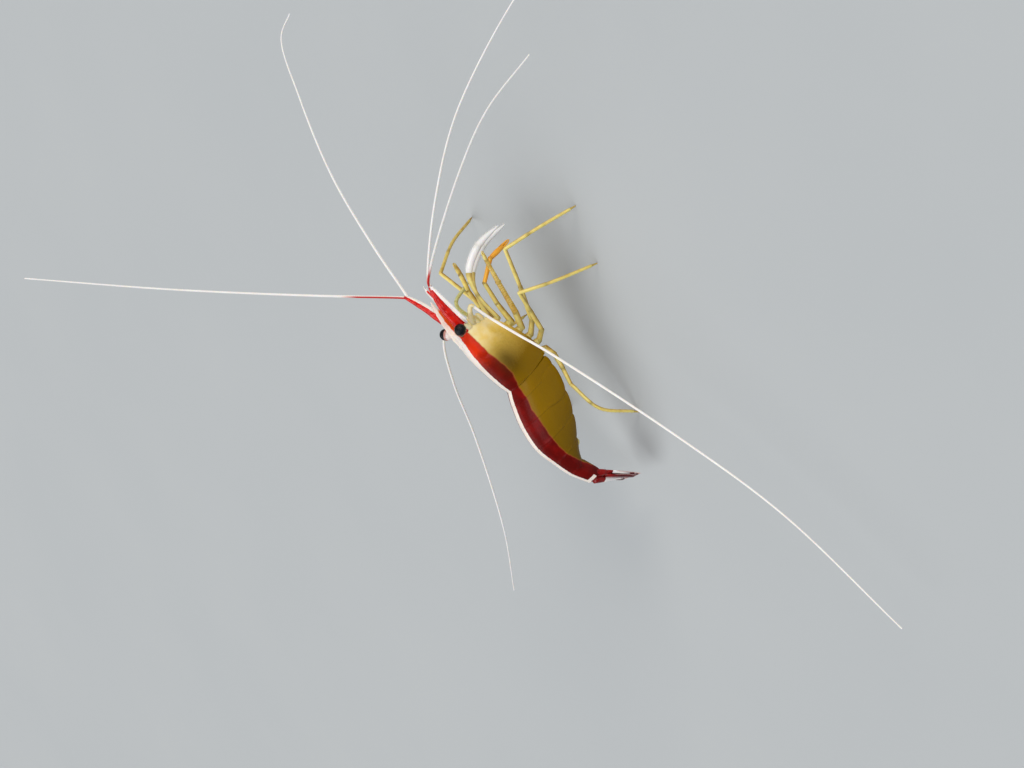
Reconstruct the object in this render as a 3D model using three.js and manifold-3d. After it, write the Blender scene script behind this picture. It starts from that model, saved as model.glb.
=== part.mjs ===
// A cleaner shrimp (Lysmata amboinensis) at life size, standing on its six walking legs.
// Millimetres, +Z up, +X towards the head and +Y to the animal's left.

import * as THREE from 'three';
import * as BufferGeometryUtils from 'three/addons/utils/BufferGeometryUtils.js';
import Module from 'manifold-3d';

const wasm = await Module();
wasm.setup();

// --- Driving dimensions ---------------------------------------------------------------------

const bodyPitch = THREE.MathUtils.degToRad(24);   // the carapace's axis rises this much forwards
const backHeight = 20.5;                          // rear top edge of the carapace above the floor
const tailDrop = THREE.MathUtils.degToRad(38);    // the tail fan hangs this much below that axis
const gap = 0.3;                                  // clearance between neighbouring pieces
const thinnest = 0.55;                            // thickness of scales, blades and swimmerets

const eyeRadius = 1.1;
const eyestalkRadius = 0.5;

const feelerRadius = { base: 0.33, tip: 0.25 };
const feelerStep = 3.2;                           // length of one straight stretch of a feeler
const feelerSides = 6;
const legSides = 8;
const footRadius = 0.3;

// Cross-sections of the carapace, rear to front: [forward, up] of its top and its lower edge in
// the body's frame, half its width, and how deep its hollow underside is, as a share of its height.
const carapaceSections = [
  { top: [-0.1, -0.15], bottom: [-0.9, -9.7], halfWidth: 3.8, hollow: 0.12 },
  { top: [1.6, 0.05], bottom: [1.2, -10.1], halfWidth: 4.0, hollow: 0.12 },
  { top: [4.5, 0.1], bottom: [4.4, -9.9], halfWidth: 4.05, hollow: 0.12 },
  { top: [7.4, 0], bottom: [7.5, -9.3], halfWidth: 3.85, hollow: 0.12 },
  { top: [10, -0.25], bottom: [10.2, -8.5], halfWidth: 3.4, hollow: 0.1 },
  { top: [12, -0.7], bottom: [12.2, -7.6], halfWidth: 2.8, hollow: 0.08 },
  { top: [13.3, -1.1], bottom: [13.5, -6.6], halfWidth: 2.2, hollow: 0.06 },
];

// The same at the seven ends of the six abdominal somites, front to rear.
const somiteJoints = [
  { top: [-0.4, -0.1], bottom: [-1.2, -9.6], halfWidth: 3.7, hollow: 0.16 },
  { top: [-2.4, 1.45], bottom: [-3.6, -9.2], halfWidth: 3.8, hollow: 0.2 },
  { top: [-6.2, 3.65], bottom: [-8, -7.3], halfWidth: 3.75, hollow: 0.22 },
  { top: [-10.9, 5.1], bottom: [-12, -4.8], halfWidth: 3.4, hollow: 0.22 },
  { top: [-15.5, 4.9], bottom: [-15.3, -1.9], halfWidth: 2.8, hollow: 0.2 },
  { top: [-19.2, 4.4], bottom: [-18.5, 0.7], halfWidth: 2.2, hollow: 0.1 },
  { top: [-23.2, 3], bottom: [-23.4, -0.1], halfWidth: 1.7, hollow: 0.06 },
];
const scallop = 0.5;                              // how far a somite's side lifts at its two ends

// Points in the body's frame, [forward, left, up] from the rear top edge of the carapace.
const eyes = { right: [15.05, -3.1, -1.76], left: [15.2, 3, -2] };
const antennules = {
  right: [[13.9, -1.5, -3.6], [19.9, -2.3, -3.6], [24.1, -2.45, -4.6]],
  left: [[13.9, 1.5, -3.6], [18.1, 1.5, -3.1], [21.1, 2.1, -3.05], [23.5, 3, -2.95], [24.6, 3.8, -3]],
};
const antennaBases = {
  right: [[13.9, -2.7, -7.1], [15.2, -3.3, -7.3], [16.1, -3.8, -7.1]],
  left: [[13.9, 2.7, -7.1], [15.2, 3.3, -7.3], [16.1, 3.8, -7.1]],
};
const antennalScales = {
  right: { base: [14, -2.9, -5.4], tip: [24.7, -3.4, -5.3], roll: 12 },
  left: { base: [14, 2.9, -5.4], tip: [24.3, 4.2, -6.9], roll: -8 },
};
const scaleWidth = 2.5;

// The feelers' routes, base to tip, in millimetres above the floor.
const feelers = {
  antennule_right_outer_flagellum: [
    [24.5, -3.2, 26.5], [27.8, -8.4, 26.8], [40.2, -35, 27.9], [46.1, -51.3, 28.5], [50.1, -70.2, 28.8],
  ],
  antennule_right_inner_flagellum: [
    [24.5, -2.2, 25.9], [26.5, -4.1, 26], [37, -15.6, 24.6], [48.7, -31, 21.6], [60.2, -53.8, 15.6],
    [62.6, -61, 13.2],
  ],
  antennule_left_outer_flagellum: [
    [24.6, 5, 28.1], [32.1, 13.9, 39.3], [45.5, 28.9, 57.7], [60.2, 44.4, 76.4],
  ],
  antennule_left_inner_flagellum: [
    [24.9, 4.1, 27.4], [35.3, 4.6, 28.8], [50.2, 4.5, 29.7], [65.9, 3.3, 28.7], [76.6, 1.9, 27.1],
    [79.7, 0, 24.3],
  ],
  antenna_right_flagellum: [
    [16.5, -4.6, 20.7], [13.4, -5.9, 19.6], [8.7, -9.4, 18.2], [4.4, -13.9, 17.5], [-19.3, -32.8, 12.7],
    [-38, -47.2, 10.3], [-61.8, -63.3, 10.5],
  ],
  antenna_left_flagellum: [
    [16.5, 4.6, 20.9], [13.6, 9.4, 22.2], [5.6, 13.5, 22.3], [-5.6, 18.8, 20.7], [-24.8, 28.3, 19.3],
    [-39.1, 42.9, 16.1],
  ],
};

// The mouth's long feet and the two pairs of clawed legs: joints from the body outwards, with the
// radius at each.
const frontLimbs = {
  maxilliped_right: {
    joints: [[12.7, -1.6, 15.8], [18.5, -2.3, 17.9], [22.7, -2.7, 17.7], [26.3, -2.9, 13.6], [28, -2.9, 7.6]],
    radii: [0.5, 0.5, 0.6, 0.65, 0.28],
  },
  maxilliped_left: {
    joints: [[12.7, 1.6, 15.8], [18.3, 1.8, 15.7], [22.4, 1.8, 14.35], [25.9, 1.4, 10.15], [27.6, 0.8, 3.9]],
    radii: [0.5, 0.5, 0.6, 0.65, 0.28],
  },
  claw_leg_1_right: {
    joints: [[11.1, -2.4, 14.2], [15.5, -3.4, 15.7], [19.9, -4.1, 16.5], [23.4, -4.7, 13.3], [24.8, -4.9, 8]],
    radii: [0.6, 0.45, 0.42, 0.5, 0.28],
  },
  claw_leg_1_left: {
    joints: [[11.1, 2.4, 14.2], [15.8, 3.2, 15.5], [19.7, 3.7, 15.8], [23, 4.4, 15.3], [25.6, 7, 14]],
    radii: [0.6, 0.45, 0.42, 0.5, 0.28],
  },
  claw_leg_2_right: {
    joints: [[9.2, -2.5, 12.9], [12.5, -4.5, 13.7], [18.9, -5.8, 14.8], [23.4, -6.8, 15.5],
      [25.3, -7.2, 15.75]],
    radii: [0.6, 0.42, 0.38, 0.36, 0.28],
  },
  claw_leg_2_left: {
    joints: [[9.2, 2.5, 12.9], [13, 5, 15.4], [17.6, 5.5, 18.4], [19, 5.5, 18.2], [20.5, 5.5, 15.4],
      [21.2, 5.9, 13.6]],
    radii: [0.6, 0.42, 0.38, 0.38, 0.36, 0.28],
  },
};

// The walking legs: the upper part from the body to the knee, the lower part from the knee to the
// foot, which ends in a small flat on the floor.
const walkingLegs = {
  walking_leg_3_right: {
    upper: [[7.3, -2.5, 11.9], [9.6, -4.2, 11.2], [16.3, -8, 12.4], [23.8, -12, 14]],
    lower: [[24.4, -15, 8], [24.8, -18, 0]],
  },
  walking_leg_3_left: {
    upper: [[7.3, 2.5, 11.9], [9.6, 4.7, 12], [16.4, 6.4, 13.4], [25, 10, 15.8]],
    lower: [[29, 13, 8.8], [31.6, 16.7, 0]],
  },
  walking_leg_4_right: {
    upper: [[5.6, -2.5, 10.9], [7.3, -4.9, 10.7], [11.6, -6.9, 12.2], [15.5, -10, 14.4]],
    lower: [[14.5, -13, 8.9], [13.6, -15.6, 0]],
  },
  walking_leg_4_left: {
    upper: [[5.6, 2.5, 10.9], [6.4, 5, 11], [7.1, 7.4, 12.2], [8.2, 11, 14.5]],
    lower: [[9.3, 13.4, 8.6], [10, 15, 0]],
  },
  walking_leg_5_right: {
    upper: [[3.9, -2.4, 10.3], [2, -3.3, 9.7], [-1, -3.3, 9.5], [-4.3, -3.7, 9.8]],
    lower: [[-10.7, -4.6, 7.3], [-15.2, -4.8, 0]],
  },
  walking_leg_5_left: {
    upper: [[3.9, 2.4, 10.3], [2, 5, 9.9], [-0.8, 6.6, 11.2], [-4.4, 7.8, 12.4]],
    lower: [[-8, 13, 8.6], [-10, 17, 0]],
  },
};
const upperLegRadii = [0.6, 0.5, 0.42, 0.4];
const lowerLegRadii = [0.38, 0.32, footRadius];
const kneeClearance = 0.8;                        // where a lower leg starts, beyond the knee

// Length of the swimmerets of somites 1 to 5, and how far they lean out of the hollow below.
const swimmeretLengths = [2.4, 3.8, 4, 3.4, 2.6];
const swimmeretWidth = 1.3;
const swimmeretThickness = 0.5;
const swimmeretSpread = 0.24;                     // their distance from the midline, as a share
const swimmeretDrop = 0.9;                        // how far they hang below the hollow's roof
const swimmeretLean = THREE.MathUtils.degToRad(12);

// --- Materials ------------------------------------------------------------------------------

function shell(name, color, roughness = 0.35) {
  return new THREE.MeshStandardMaterial({ name, color, roughness, metalness: 0 });
}

const materials = {
  carapace: shell('carapace', 0xd9b860),
  abdomen: shell('abdomen', 0xc9a21e),
  tail: shell('tail', 0xb3160c),
  eye: shell('eye', 0x0a0a0d, 0.1),
  stalk: shell('stalk', 0xe9d9cb),
  redLimb: shell('red_limb', 0xc42312),
  feeler: shell('feeler', 0xf2efe9),
  leg: shell('leg', 0xd9b93c),
  claw: shell('claw', 0xe59a2a),
  swimmeret: shell('swimmeret', 0xd8c06a),
};

// --- Shape helpers --------------------------------------------------------------------------

function vector(point) {
  return new THREE.Vector3(...point);
}

// Closed surface through rings of equal point count, with a flat cap on the first and the last.
function loft(rings) {
  const count = rings[0].length;
  const positions = rings.flat().flatMap((point) => point.toArray());
  const indices = [];
  for (let ring = 0; ring < rings.length - 1; ring += 1) {
    for (let i = 0; i < count; i += 1) {
      const a = ring * count + i;
      const b = ring * count + ((i + 1) % count);
      indices.push(a, b, b + count, a, b + count, a + count);
    }
  }
  const startCap = capTriangles(rings[0]);
  const endCap = capTriangles(rings.at(-1));
  const last = (rings.length - 1) * count;
  startCap.forEach(([a, b, c]) => indices.push(c, b, a));
  endCap.forEach(([a, b, c]) => indices.push(last + a, last + b, last + c));
  if (signedVolume(positions, indices) < 0) {
    indices.reverse();
  }
  const geometry = new THREE.BufferGeometry();
  geometry.setAttribute('position', new THREE.Float32BufferAttribute(positions, 3));
  geometry.setIndex(indices);
  geometry.computeVertexNormals();
  return geometry;
}

// Triangles over a flat ring, wound the way the ring runs.
function capTriangles(ring) {
  const centre = ring.reduce((sum, point) => sum.add(point), new THREE.Vector3());
  centre.divideScalar(ring.length);
  const normal = new THREE.Vector3();
  ring.forEach((point, i) => {
    const next = ring[(i + 1) % ring.length];
    normal.add(point.clone().sub(centre).cross(next.clone().sub(centre)));
  });
  normal.normalize();
  const across = ring[0].clone().sub(centre).normalize();
  const along = normal.clone().cross(across);
  const outline = ring.map((point) => {
    const offset = point.clone().sub(centre);
    return new THREE.Vector2(offset.dot(across), offset.dot(along));
  });
  return THREE.ShapeUtils.triangulateShape(outline, []);
}

function signedVolume(positions, indices) {
  let volume = 0;
  for (let i = 0; i < indices.length; i += 3) {
    const [a, b, c] = [0, 1, 2].map((k) => new THREE.Vector3().fromArray(positions, 3 * indices[i + k]));
    volume += a.dot(b.cross(c)) / 6;
  }
  return volume;
}

// A round limb through its joints, with the given radius at each. Its ends are flat, and a foot's
// end lies level with the floor.
function limb(joints, radii, sides, levelFoot = false) {
  let across = new THREE.Vector3(0, 0, 1);
  const rings = joints.map((joint, i) => {
    const before = joints[Math.max(i - 1, 0)];
    const after = joints[Math.min(i + 1, joints.length - 1)];
    const incoming = joint.clone().sub(before).normalize();
    const outgoing = after.clone().sub(joint).normalize();
    const direction = incoming.add(outgoing).normalize();
    if (levelFoot && i === joints.length - 1) {
      direction.set(0, 0, -1);
    }
    across = across.clone().addScaledVector(direction, -across.dot(direction));
    if (across.length() < 0.2) {
      across = new THREE.Vector3(1, 0, 0).addScaledVector(direction, -direction.x);
    }
    across.normalize();
    const along = direction.clone().cross(across);
    return Array.from({ length: sides }, (unused, k) => {
      const angle = (2 * Math.PI * k) / sides;
      return joint.clone()
        .addScaledVector(across, radii[i] * Math.cos(angle))
        .addScaledVector(along, radii[i] * Math.sin(angle));
    });
  });
  return loft(rings);
}

// A flat blade that grows from a narrow root at the origin along +X, with a rounded tip.
function blade(length, width, thickness) {
  const root = 0.3 * width;
  const side = 0.62 * width;
  const shape = new THREE.Shape();
  shape.moveTo(0, -root);
  shape.bezierCurveTo(0.35 * length, -side, 0.9 * length, -side, length, -0.08 * width);
  shape.lineTo(length, 0.08 * width);
  shape.bezierCurveTo(0.9 * length, side, 0.35 * length, side, 0, root);
  const options = { depth: thickness, bevelEnabled: false, curveSegments: 7 };
  return new THREE.ExtrudeGeometry(shape, options).translate(0, 0, -thickness / 2);
}

// Smooth run of cross-sections through the listed ones: at(t) gives the one at t from 0 to 1.
function sectionRun(sections) {
  const curve = (pick) => new THREE.SplineCurve(sections.map((s) => new THREE.Vector2(...pick(s))));
  const top = curve((s) => s.top);
  const bottom = curve((s) => s.bottom);
  const size = curve((s) => [s.halfWidth, s.hollow]);
  return {
    at(t) {
      const [halfWidth, hollow] = size.getPoint(t).toArray();
      return { top: top.getPoint(t), bottom: bottom.getPoint(t), halfWidth, hollow };
    },
    underside: (t) => bottom.getTangent(t),
  };
}

// A point of a cross-section: across runs from -1 to 1 (left), height from 0 (edge) to 1 (top).
function sectionPoint(section, across, height, lift = 0) {
  const foot = section.bottom.clone().lerp(section.top, lift);
  const inPlane = foot.lerp(section.top, height);
  return new THREE.Vector3(inPlane.x, across * section.halfWidth, inPlane.y);
}

// Outline of a shell in cross-section: a round back, nearly upright sides, and a hollow between
// the two lower edges.
function shellRing(section, lift = 0) {
  const steps = 9;
  const rightSide = [];
  for (let i = 1; i <= steps; i += 1) {
    const angle = (Math.PI * i) / steps;
    const height = 0.5 + 0.5 * Math.cos(angle);
    const across = i < steps / 2 ? Math.sin(angle) ** 0.85 : 1 - 0.3 * Math.cos(angle) ** 2;
    rightSide.push([across, height]);
  }
  rightSide.push([0.5, 0.015], [0.42, section.hollow]);
  const leftSide = rightSide.map(([across, height]) => [-across, height]).reverse();
  const outline = [[0, 1], ...rightSide, [0, section.hollow * 1.15], ...leftSide];
  return outline.map(([across, height]) => sectionPoint(section, across, height, lift));
}

function toManifold(geometry) {
  const bare = geometry.clone();
  bare.deleteAttribute('normal');
  bare.deleteAttribute('uv');
  const merged = BufferGeometryUtils.mergeVertices(bare);
  const vertProperties = new Float32Array(merged.attributes.position.array);
  const triVerts = new Uint32Array(merged.index.array);
  return new wasm.Manifold(new wasm.Mesh({ numProp: 3, vertProperties, triVerts }));
}

function joined(first, second) {
  const mesh = toManifold(first).add(toManifold(second)).getMesh();
  const geometry = new THREE.BufferGeometry();
  geometry.setAttribute('position', new THREE.BufferAttribute(mesh.vertProperties, 3));
  geometry.setIndex(new THREE.BufferAttribute(mesh.triVerts, 1));
  geometry.computeVertexNormals();
  return geometry;
}

function piece(parent, name, geometry, material) {
  const mesh = new THREE.Mesh(geometry, material);
  mesh.name = name;
  parent.add(mesh);
  return mesh;
}

const sides = [['right', -1], ['left', 1]];

// --- Body -----------------------------------------------------------------------------------

const shrimp = new THREE.Group();

const trunk = new THREE.Group();
trunk.position.z = backHeight;
trunk.rotation.y = -bodyPitch;
shrimp.add(trunk);

// The rostrum: an upright blade with teeth along its top. Points are [forward, up].
const rostrum = {
  root: [9.5, -1], belly: [16, -3], tip: [21.8, -3.45], crest: [9.2, -0.35],
  arch: 0.9,                                      // how far the crest bows above a straight line
  thickness: 0.75, tipHeight: 0.2,
  teeth: 6, toothReach: 0.75, toothHeight: 0.2,
};

function rostrumBlade() {
  const { root, belly, tip, crest } = rostrum;
  const shape = new THREE.Shape();
  shape.moveTo(...root);
  shape.quadraticCurveTo(...belly, tip[0], tip[1] - rostrum.tipHeight);
  shape.lineTo(...tip);
  for (let i = rostrum.teeth; i >= 1; i -= 1) {
    const t = i / (rostrum.teeth + 1);
    const x = THREE.MathUtils.lerp(crest[0], tip[0], t);
    const z = THREE.MathUtils.lerp(crest[1], tip[1], t) + rostrum.arch * Math.sin(Math.PI * t);
    shape.lineTo(x + rostrum.toothReach, z + rostrum.toothHeight);
    shape.lineTo(x, z);
  }
  shape.lineTo(...crest);
  const options = { depth: rostrum.thickness, bevelEnabled: false, curveSegments: 8 };
  const flat = new THREE.ExtrudeGeometry(shape, options);
  return flat.translate(0, 0, -rostrum.thickness / 2).rotateX(Math.PI / 2);
}

function carapace() {
  const run = sectionRun(carapaceSections);
  const ringCount = 13;
  const rings = Array.from({ length: ringCount }, (unused, i) => shellRing(run.at(i / (ringCount - 1))));
  return joined(loft(rings), rostrumBlade());
}

piece(trunk, 'carapace', carapace(), materials.carapace);

const abdomenRun = sectionRun(somiteJoints);
const somiteCount = somiteJoints.length - 1;

function somite(index) {
  const ringCount = 6;
  const [front, rear] = somiteJoints.slice(index, index + 2).map(({ top }) => vector([...top, 0]));
  const length = front.distanceTo(rear);
  const inset = gap / 2 / length;
  const rings = Array.from({ length: ringCount }, (unused, i) => {
    const along = THREE.MathUtils.lerp(inset, 1 - inset, i / (ringCount - 1));
    const section = abdomenRun.at((index + along) / somiteCount);
    const height = section.top.distanceTo(section.bottom);
    const lift = (scallop * (2 * along - 1) ** 2) / height;
    return shellRing(section, lift);
  });
  return loft(rings);
}

for (let index = 0; index < somiteCount; index += 1) {
  piece(trunk, `abdomen_${index + 1}`, somite(index), materials.abdomen);
}

// --- Tail fan -------------------------------------------------------------------------------

// In the tail fan's frame +X runs from the last somite to the fan's tip and +Z is its upper face.
const tailFan = new THREE.Group();
tailFan.position.set(-23.9, 0, 0.9);
tailFan.rotation.set(0, -tailDrop, Math.PI);
trunk.add(tailFan);

const layer = thinnest + gap;
piece(tailFan, 'telson', blade(5.6, 2.3, 0.7), materials.tail).position.set(0.2, 0, layer + 0.1);

sides.forEach(([side, sign]) => {
  const inner = piece(tailFan, `uropod_inner_${side}`, blade(6.6, 2, thinnest), materials.tail);
  inner.position.set(0.4, -sign * 1.15, 0);
  inner.rotation.z = -sign * THREE.MathUtils.degToRad(7);
  const outer = piece(tailFan, `uropod_outer_${side}`, blade(7.4, 2.3, thinnest), materials.tail);
  outer.position.set(0.4, -sign * 1.3, -layer);
  outer.rotation.z = -sign * THREE.MathUtils.degToRad(10);
});

// --- Eyes -----------------------------------------------------------------------------------

sides.forEach(([side, sign]) => {
  const centre = vector(eyes[side]);
  const root = new THREE.Vector3(13.8, sign * 1.2, -1.95);
  const towards = centre.clone().sub(root).normalize();
  const cup = centre.clone().addScaledVector(towards, -(eyeRadius + gap));
  const stalkRadii = [eyestalkRadius, eyestalkRadius * 1.15];
  piece(trunk, `eyestalk_${side}`, limb([root, cup], stalkRadii, legSides), materials.stalk);
  const eye = piece(trunk, `eye_${side}`, new THREE.SphereGeometry(eyeRadius, 14, 10), materials.eye);
  eye.position.copy(centre);
});

// --- Antennules, antennae and their scales ----------------------------------------------------

sides.forEach(([side]) => {
  const joints = antennules[side].map(vector);
  const radii = joints.map((unused, i) => THREE.MathUtils.lerp(0.72, 0.5, i / (joints.length - 1)));
  piece(trunk, `antennule_${side}`, limb(joints, radii, legSides), materials.redLimb);
  const base = limb(antennaBases[side].map(vector), [0.85, 0.7, 0.5], legSides);
  piece(trunk, `antenna_base_${side}`, base, materials.carapace);
});

sides.forEach(([side]) => {
  const { base, tip, roll } = antennalScales[side];
  const from = vector(base);
  const reach = vector(tip).sub(from);
  const length = reach.length();
  const plate = blade(length, scaleWidth, thinnest);
  const scale = piece(trunk, `antennal_scale_${side}`, plate, materials.redLimb);
  scale.position.copy(from);
  const ahead = new THREE.Vector3(1, 0, 0);
  const turn = new THREE.Quaternion().setFromUnitVectors(ahead, reach.divideScalar(length));
  const tilt = new THREE.Quaternion().setFromAxisAngle(ahead, THREE.MathUtils.degToRad(roll));
  scale.quaternion.copy(turn.multiply(tilt));
});

Object.entries(feelers).forEach(([name, route]) => {
  const curve = new THREE.CatmullRomCurve3(route.map(vector), false, 'centripetal');
  const steps = Math.ceil(curve.getLength() / feelerStep);
  const joints = curve.getSpacedPoints(steps);
  const { base, tip } = feelerRadius;
  const radii = joints.map((unused, i) => THREE.MathUtils.lerp(base, tip, i / steps));
  piece(shrimp, name, limb(joints, radii, feelerSides), materials.feeler);
});

// --- Limbs below the carapace -----------------------------------------------------------------

Object.entries(frontLimbs).forEach(([name, { joints, radii }]) => {
  const material = name.startsWith('claw') ? materials.claw : materials.feeler;
  piece(shrimp, name, limb(joints.map(vector), radii, legSides), material);
});

Object.entries(walkingLegs).forEach(([name, { upper, lower }]) => {
  const knee = vector(upper.at(-1));
  const shin = lower.map(vector);
  const start = knee.clone().addScaledVector(shin[0].clone().sub(knee).normalize(), kneeClearance);
  piece(shrimp, `${name}_upper`, limb(upper.map(vector), upperLegRadii, legSides), materials.leg);
  piece(shrimp, `${name}_lower`, limb([start, ...shin], lowerLegRadii, legSides, true), materials.leg);
});

// --- Swimmerets -------------------------------------------------------------------------------

// Each hangs in the hollow under its somite and points forwards along the underside.
swimmeretLengths.forEach((length, index) => {
  const t = (index + 0.7) / somiteCount;
  const section = abdomenRun.at(t);
  const rearward = abdomenRun.underside(t);
  const slope = Math.atan2(-rearward.y, -rearward.x);
  sides.forEach(([side, sign]) => {
    const hollowTop = sectionPoint(section, sign * swimmeretSpread, section.hollow);
    const flat = blade(length, swimmeretWidth, swimmeretThickness).rotateX(Math.PI / 2);
    const swimmeret = piece(trunk, `swimmeret_${index + 1}_${side}`, flat, materials.swimmeret);
    swimmeret.position.copy(hollowTop).add(new THREE.Vector3(0, 0, -swimmeretDrop));
    swimmeret.rotation.y = -slope + swimmeretLean;
  });
});

// --- Origin: the bottom centre of the whole model ---------------------------------------------

const part = new THREE.Group();
part.add(shrimp);
part.updateMatrixWorld(true);
const box = new THREE.Box3().setFromObject(part, true);
shrimp.position.set(-(box.min.x + box.max.x) / 2, -(box.min.y + box.max.y) / 2, 0);

export default part;
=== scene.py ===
# A cleaner shrimp as a life-size study model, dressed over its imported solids.
# Sizes are in millimetres until a mesh is made; +X is forwards, +Y the animal's left, +Z up.

import math

import bpy
import numpy as np
from mathutils import Matrix, Quaternion, Vector


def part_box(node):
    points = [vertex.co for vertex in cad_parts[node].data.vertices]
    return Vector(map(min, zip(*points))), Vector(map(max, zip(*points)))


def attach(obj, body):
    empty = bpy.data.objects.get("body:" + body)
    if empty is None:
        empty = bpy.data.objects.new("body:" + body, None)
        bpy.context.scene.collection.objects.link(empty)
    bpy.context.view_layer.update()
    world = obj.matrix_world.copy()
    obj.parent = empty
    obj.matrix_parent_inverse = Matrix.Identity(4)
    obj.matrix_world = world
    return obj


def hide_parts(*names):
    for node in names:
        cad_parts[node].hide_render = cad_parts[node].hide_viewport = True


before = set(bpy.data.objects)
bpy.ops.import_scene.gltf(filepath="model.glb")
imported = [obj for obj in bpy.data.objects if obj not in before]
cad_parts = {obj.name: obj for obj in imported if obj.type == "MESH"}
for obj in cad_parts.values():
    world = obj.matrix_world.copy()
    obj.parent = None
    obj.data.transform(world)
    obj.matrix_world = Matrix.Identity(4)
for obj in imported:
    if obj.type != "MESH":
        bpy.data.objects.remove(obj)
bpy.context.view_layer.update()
print("frame loaded:", len(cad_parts), "solids")

mm = 0.001
sides = {"right": -1, "left": 1}
stance = {"pitch": math.radians(24), "backHeight": 20.5}   # tilt of the trunk, height of its back
upOfBody = np.array((-math.sin(stance["pitch"]), 0, math.cos(stance["pitch"])))


# [forward, left, up] from the rear top edge of the carapace, turned to millimetres above the floor
def fromBody(points):
    forward, left, up = np.moveaxis(np.asarray(points, float), -1, 0)
    cosine, sine = math.cos(stance["pitch"]), math.sin(stance["pitch"])
    return np.stack((forward * cosine - up * sine, left,
                     stance["backHeight"] + forward * sine + up * cosine), -1)


eyes = {
    "right": (15.05, -3.1, -1.76), "left": (15.2, 3.0, -2.0),   # centres
    "root": (14.0, 0.9, -2.3),      # where the left stalk leaves the head
    "radius": 1.1,
    "facets": 5,                     # subdivisions of the ball that the facets are cut from
    "facetRise": 0.012, "facetSize": 0.74,
    # radii of the stalk at shares of the way back to the head, then of the cup at millimetres back
    # from the eye's centre: along its outside, over the rim and down its inside
    "stalk": [(1, 0.5), (0.8, 0.52), (0.62, 0.56)],
    "cup": [(1.35, 0.72), (1.1, 0.86), (0.85, 0.97), (0.6, 1.06), (0.42, 1.13), (0.36, 1.15),
            (0.33, 1.12), (0.40, 1.065), (0.62, 0.93), (0.85, 0.72), (1.02, 0.45), (1.1, 0.2)],
}
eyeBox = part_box("eye_right")
shift = np.array((eyeBox[0] + eyeBox[1]) / 2) / mm - fromBody(eyes["right"])


def hexColour(code):
    channels = [int(code[i:i + 2], 16) / 255 for i in (1, 3, 5)]
    return (*[c / 12.92 if c <= 0.04045 else ((c + 0.055) / 1.055) ** 2.4 for c in channels], 1.0)


# Adds a node with its settings and links, and gives back the output that is asked for.
def addNode(tree, kind, inputs=None, out=0, **settings):
    node = tree.nodes.new(kind)
    for name, value in settings.items():
        setattr(node, name, value)
    for name, value in (inputs or {}).items():
        if isinstance(value, bpy.types.NodeSocket):
            tree.links.new(value, node.inputs[name])
        else:
            node.inputs[name].default_value = value
    return node.outputs[out] if node.outputs else None


# A smooth curve through evenly numbered points; t runs from 0 to 1 and may go a little beyond.
def smoothRun(points, t):
    points = np.asarray(points, float)
    last = len(points) - 1
    place = np.atleast_1d(t) * last
    i = np.clip(np.floor(place).astype(int), 0, last - 1)
    w = (place - i)[:, None]
    a, b, c, d = (points[np.clip(i + k, 0, last)] for k in (-1, 0, 1, 2))
    return 0.5 * (2 * b + (c - a) * w + (2 * a - 5 * b + 4 * c - d) * w ** 2
                  + (3 * b - a - 3 * c + d) * w ** 3)


# A smooth curve through unevenly spaced points, that doesn't swing wide at the short spans.
def evenRun(points, step):
    points = np.asarray(points, float)
    ends = np.vstack((2 * points[0] - points[1], points, 2 * points[-1] - points[-2]))
    route = [points[:1]]
    for a, b, c, d in zip(ends, ends[1:], ends[2:], ends[3:]):
        before, here, after = (np.linalg.norm(q - p) ** 0.5 for p, q in ((a, b), (b, c), (c, d)))
        leave = ((b - a) / before - (c - a) / (before + here) + (c - b) / here) * here
        arrive = ((c - b) / here - (d - b) / (here + after) + (d - c) / after) * here
        w = np.linspace(0, 1, max(3, int(here ** 2 / step)) + 1)[1:, None]
        route.append((2 * w ** 3 - 3 * w ** 2 + 1) * b + (w ** 3 - 2 * w ** 2 + w) * leave
                     + (3 * w ** 2 - 2 * w ** 3) * c + (w ** 3 - w ** 2) * arrive)
    return np.vstack(route)


def roundAngles(count):
    return np.linspace(0, 2 * math.pi, count, endpoint=False)


def distances(path):
    return np.concatenate(([0], np.cumsum(np.linalg.norm(np.diff(path, axis=0), axis=1))))


def alongPath(path, places):
    run = distances(path)
    return np.column_stack([np.interp(places, run, path[:, axis]) for axis in range(3)])


def unit(vectors):
    return vectors / np.maximum(np.linalg.norm(vectors, axis=-1, keepdims=True), 1e-9)


def headings(path):
    return unit(np.gradient(path, axis=0))


# A shape is its points, its faces, and marks: a value for each point, that a material reads.
def joinShapes(shapes):
    names = sorted({name for shape in shapes for name in shape[2]})
    points, faces, marks, offset = [], [], {name: [] for name in names}, 0
    for shapePoints, shapeFaces, shapeMarks in shapes:
        points.append(shapePoints)
        faces += [tuple(i + offset for i in face) for face in shapeFaces]
        for name in names:
            marks[name].append(np.broadcast_to(shapeMarks.get(name, 0.0), len(shapePoints)))
        offset += len(shapePoints)
    return np.concatenate(points), faces, {name: np.concatenate(marks[name]) for name in names}


def facesOutward(points, faces):
    corners = np.array([(face[0], face[i], face[i + 1])
                        for face in faces for i in range(1, len(face) - 1)])
    a, b, c = (points[corners[:, k]] - points.mean(0) for k in range(3))
    volume = np.einsum("ij,ij->", a, np.cross(b, c))
    return faces if volume > 0 else [face[::-1] for face in faces]


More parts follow.
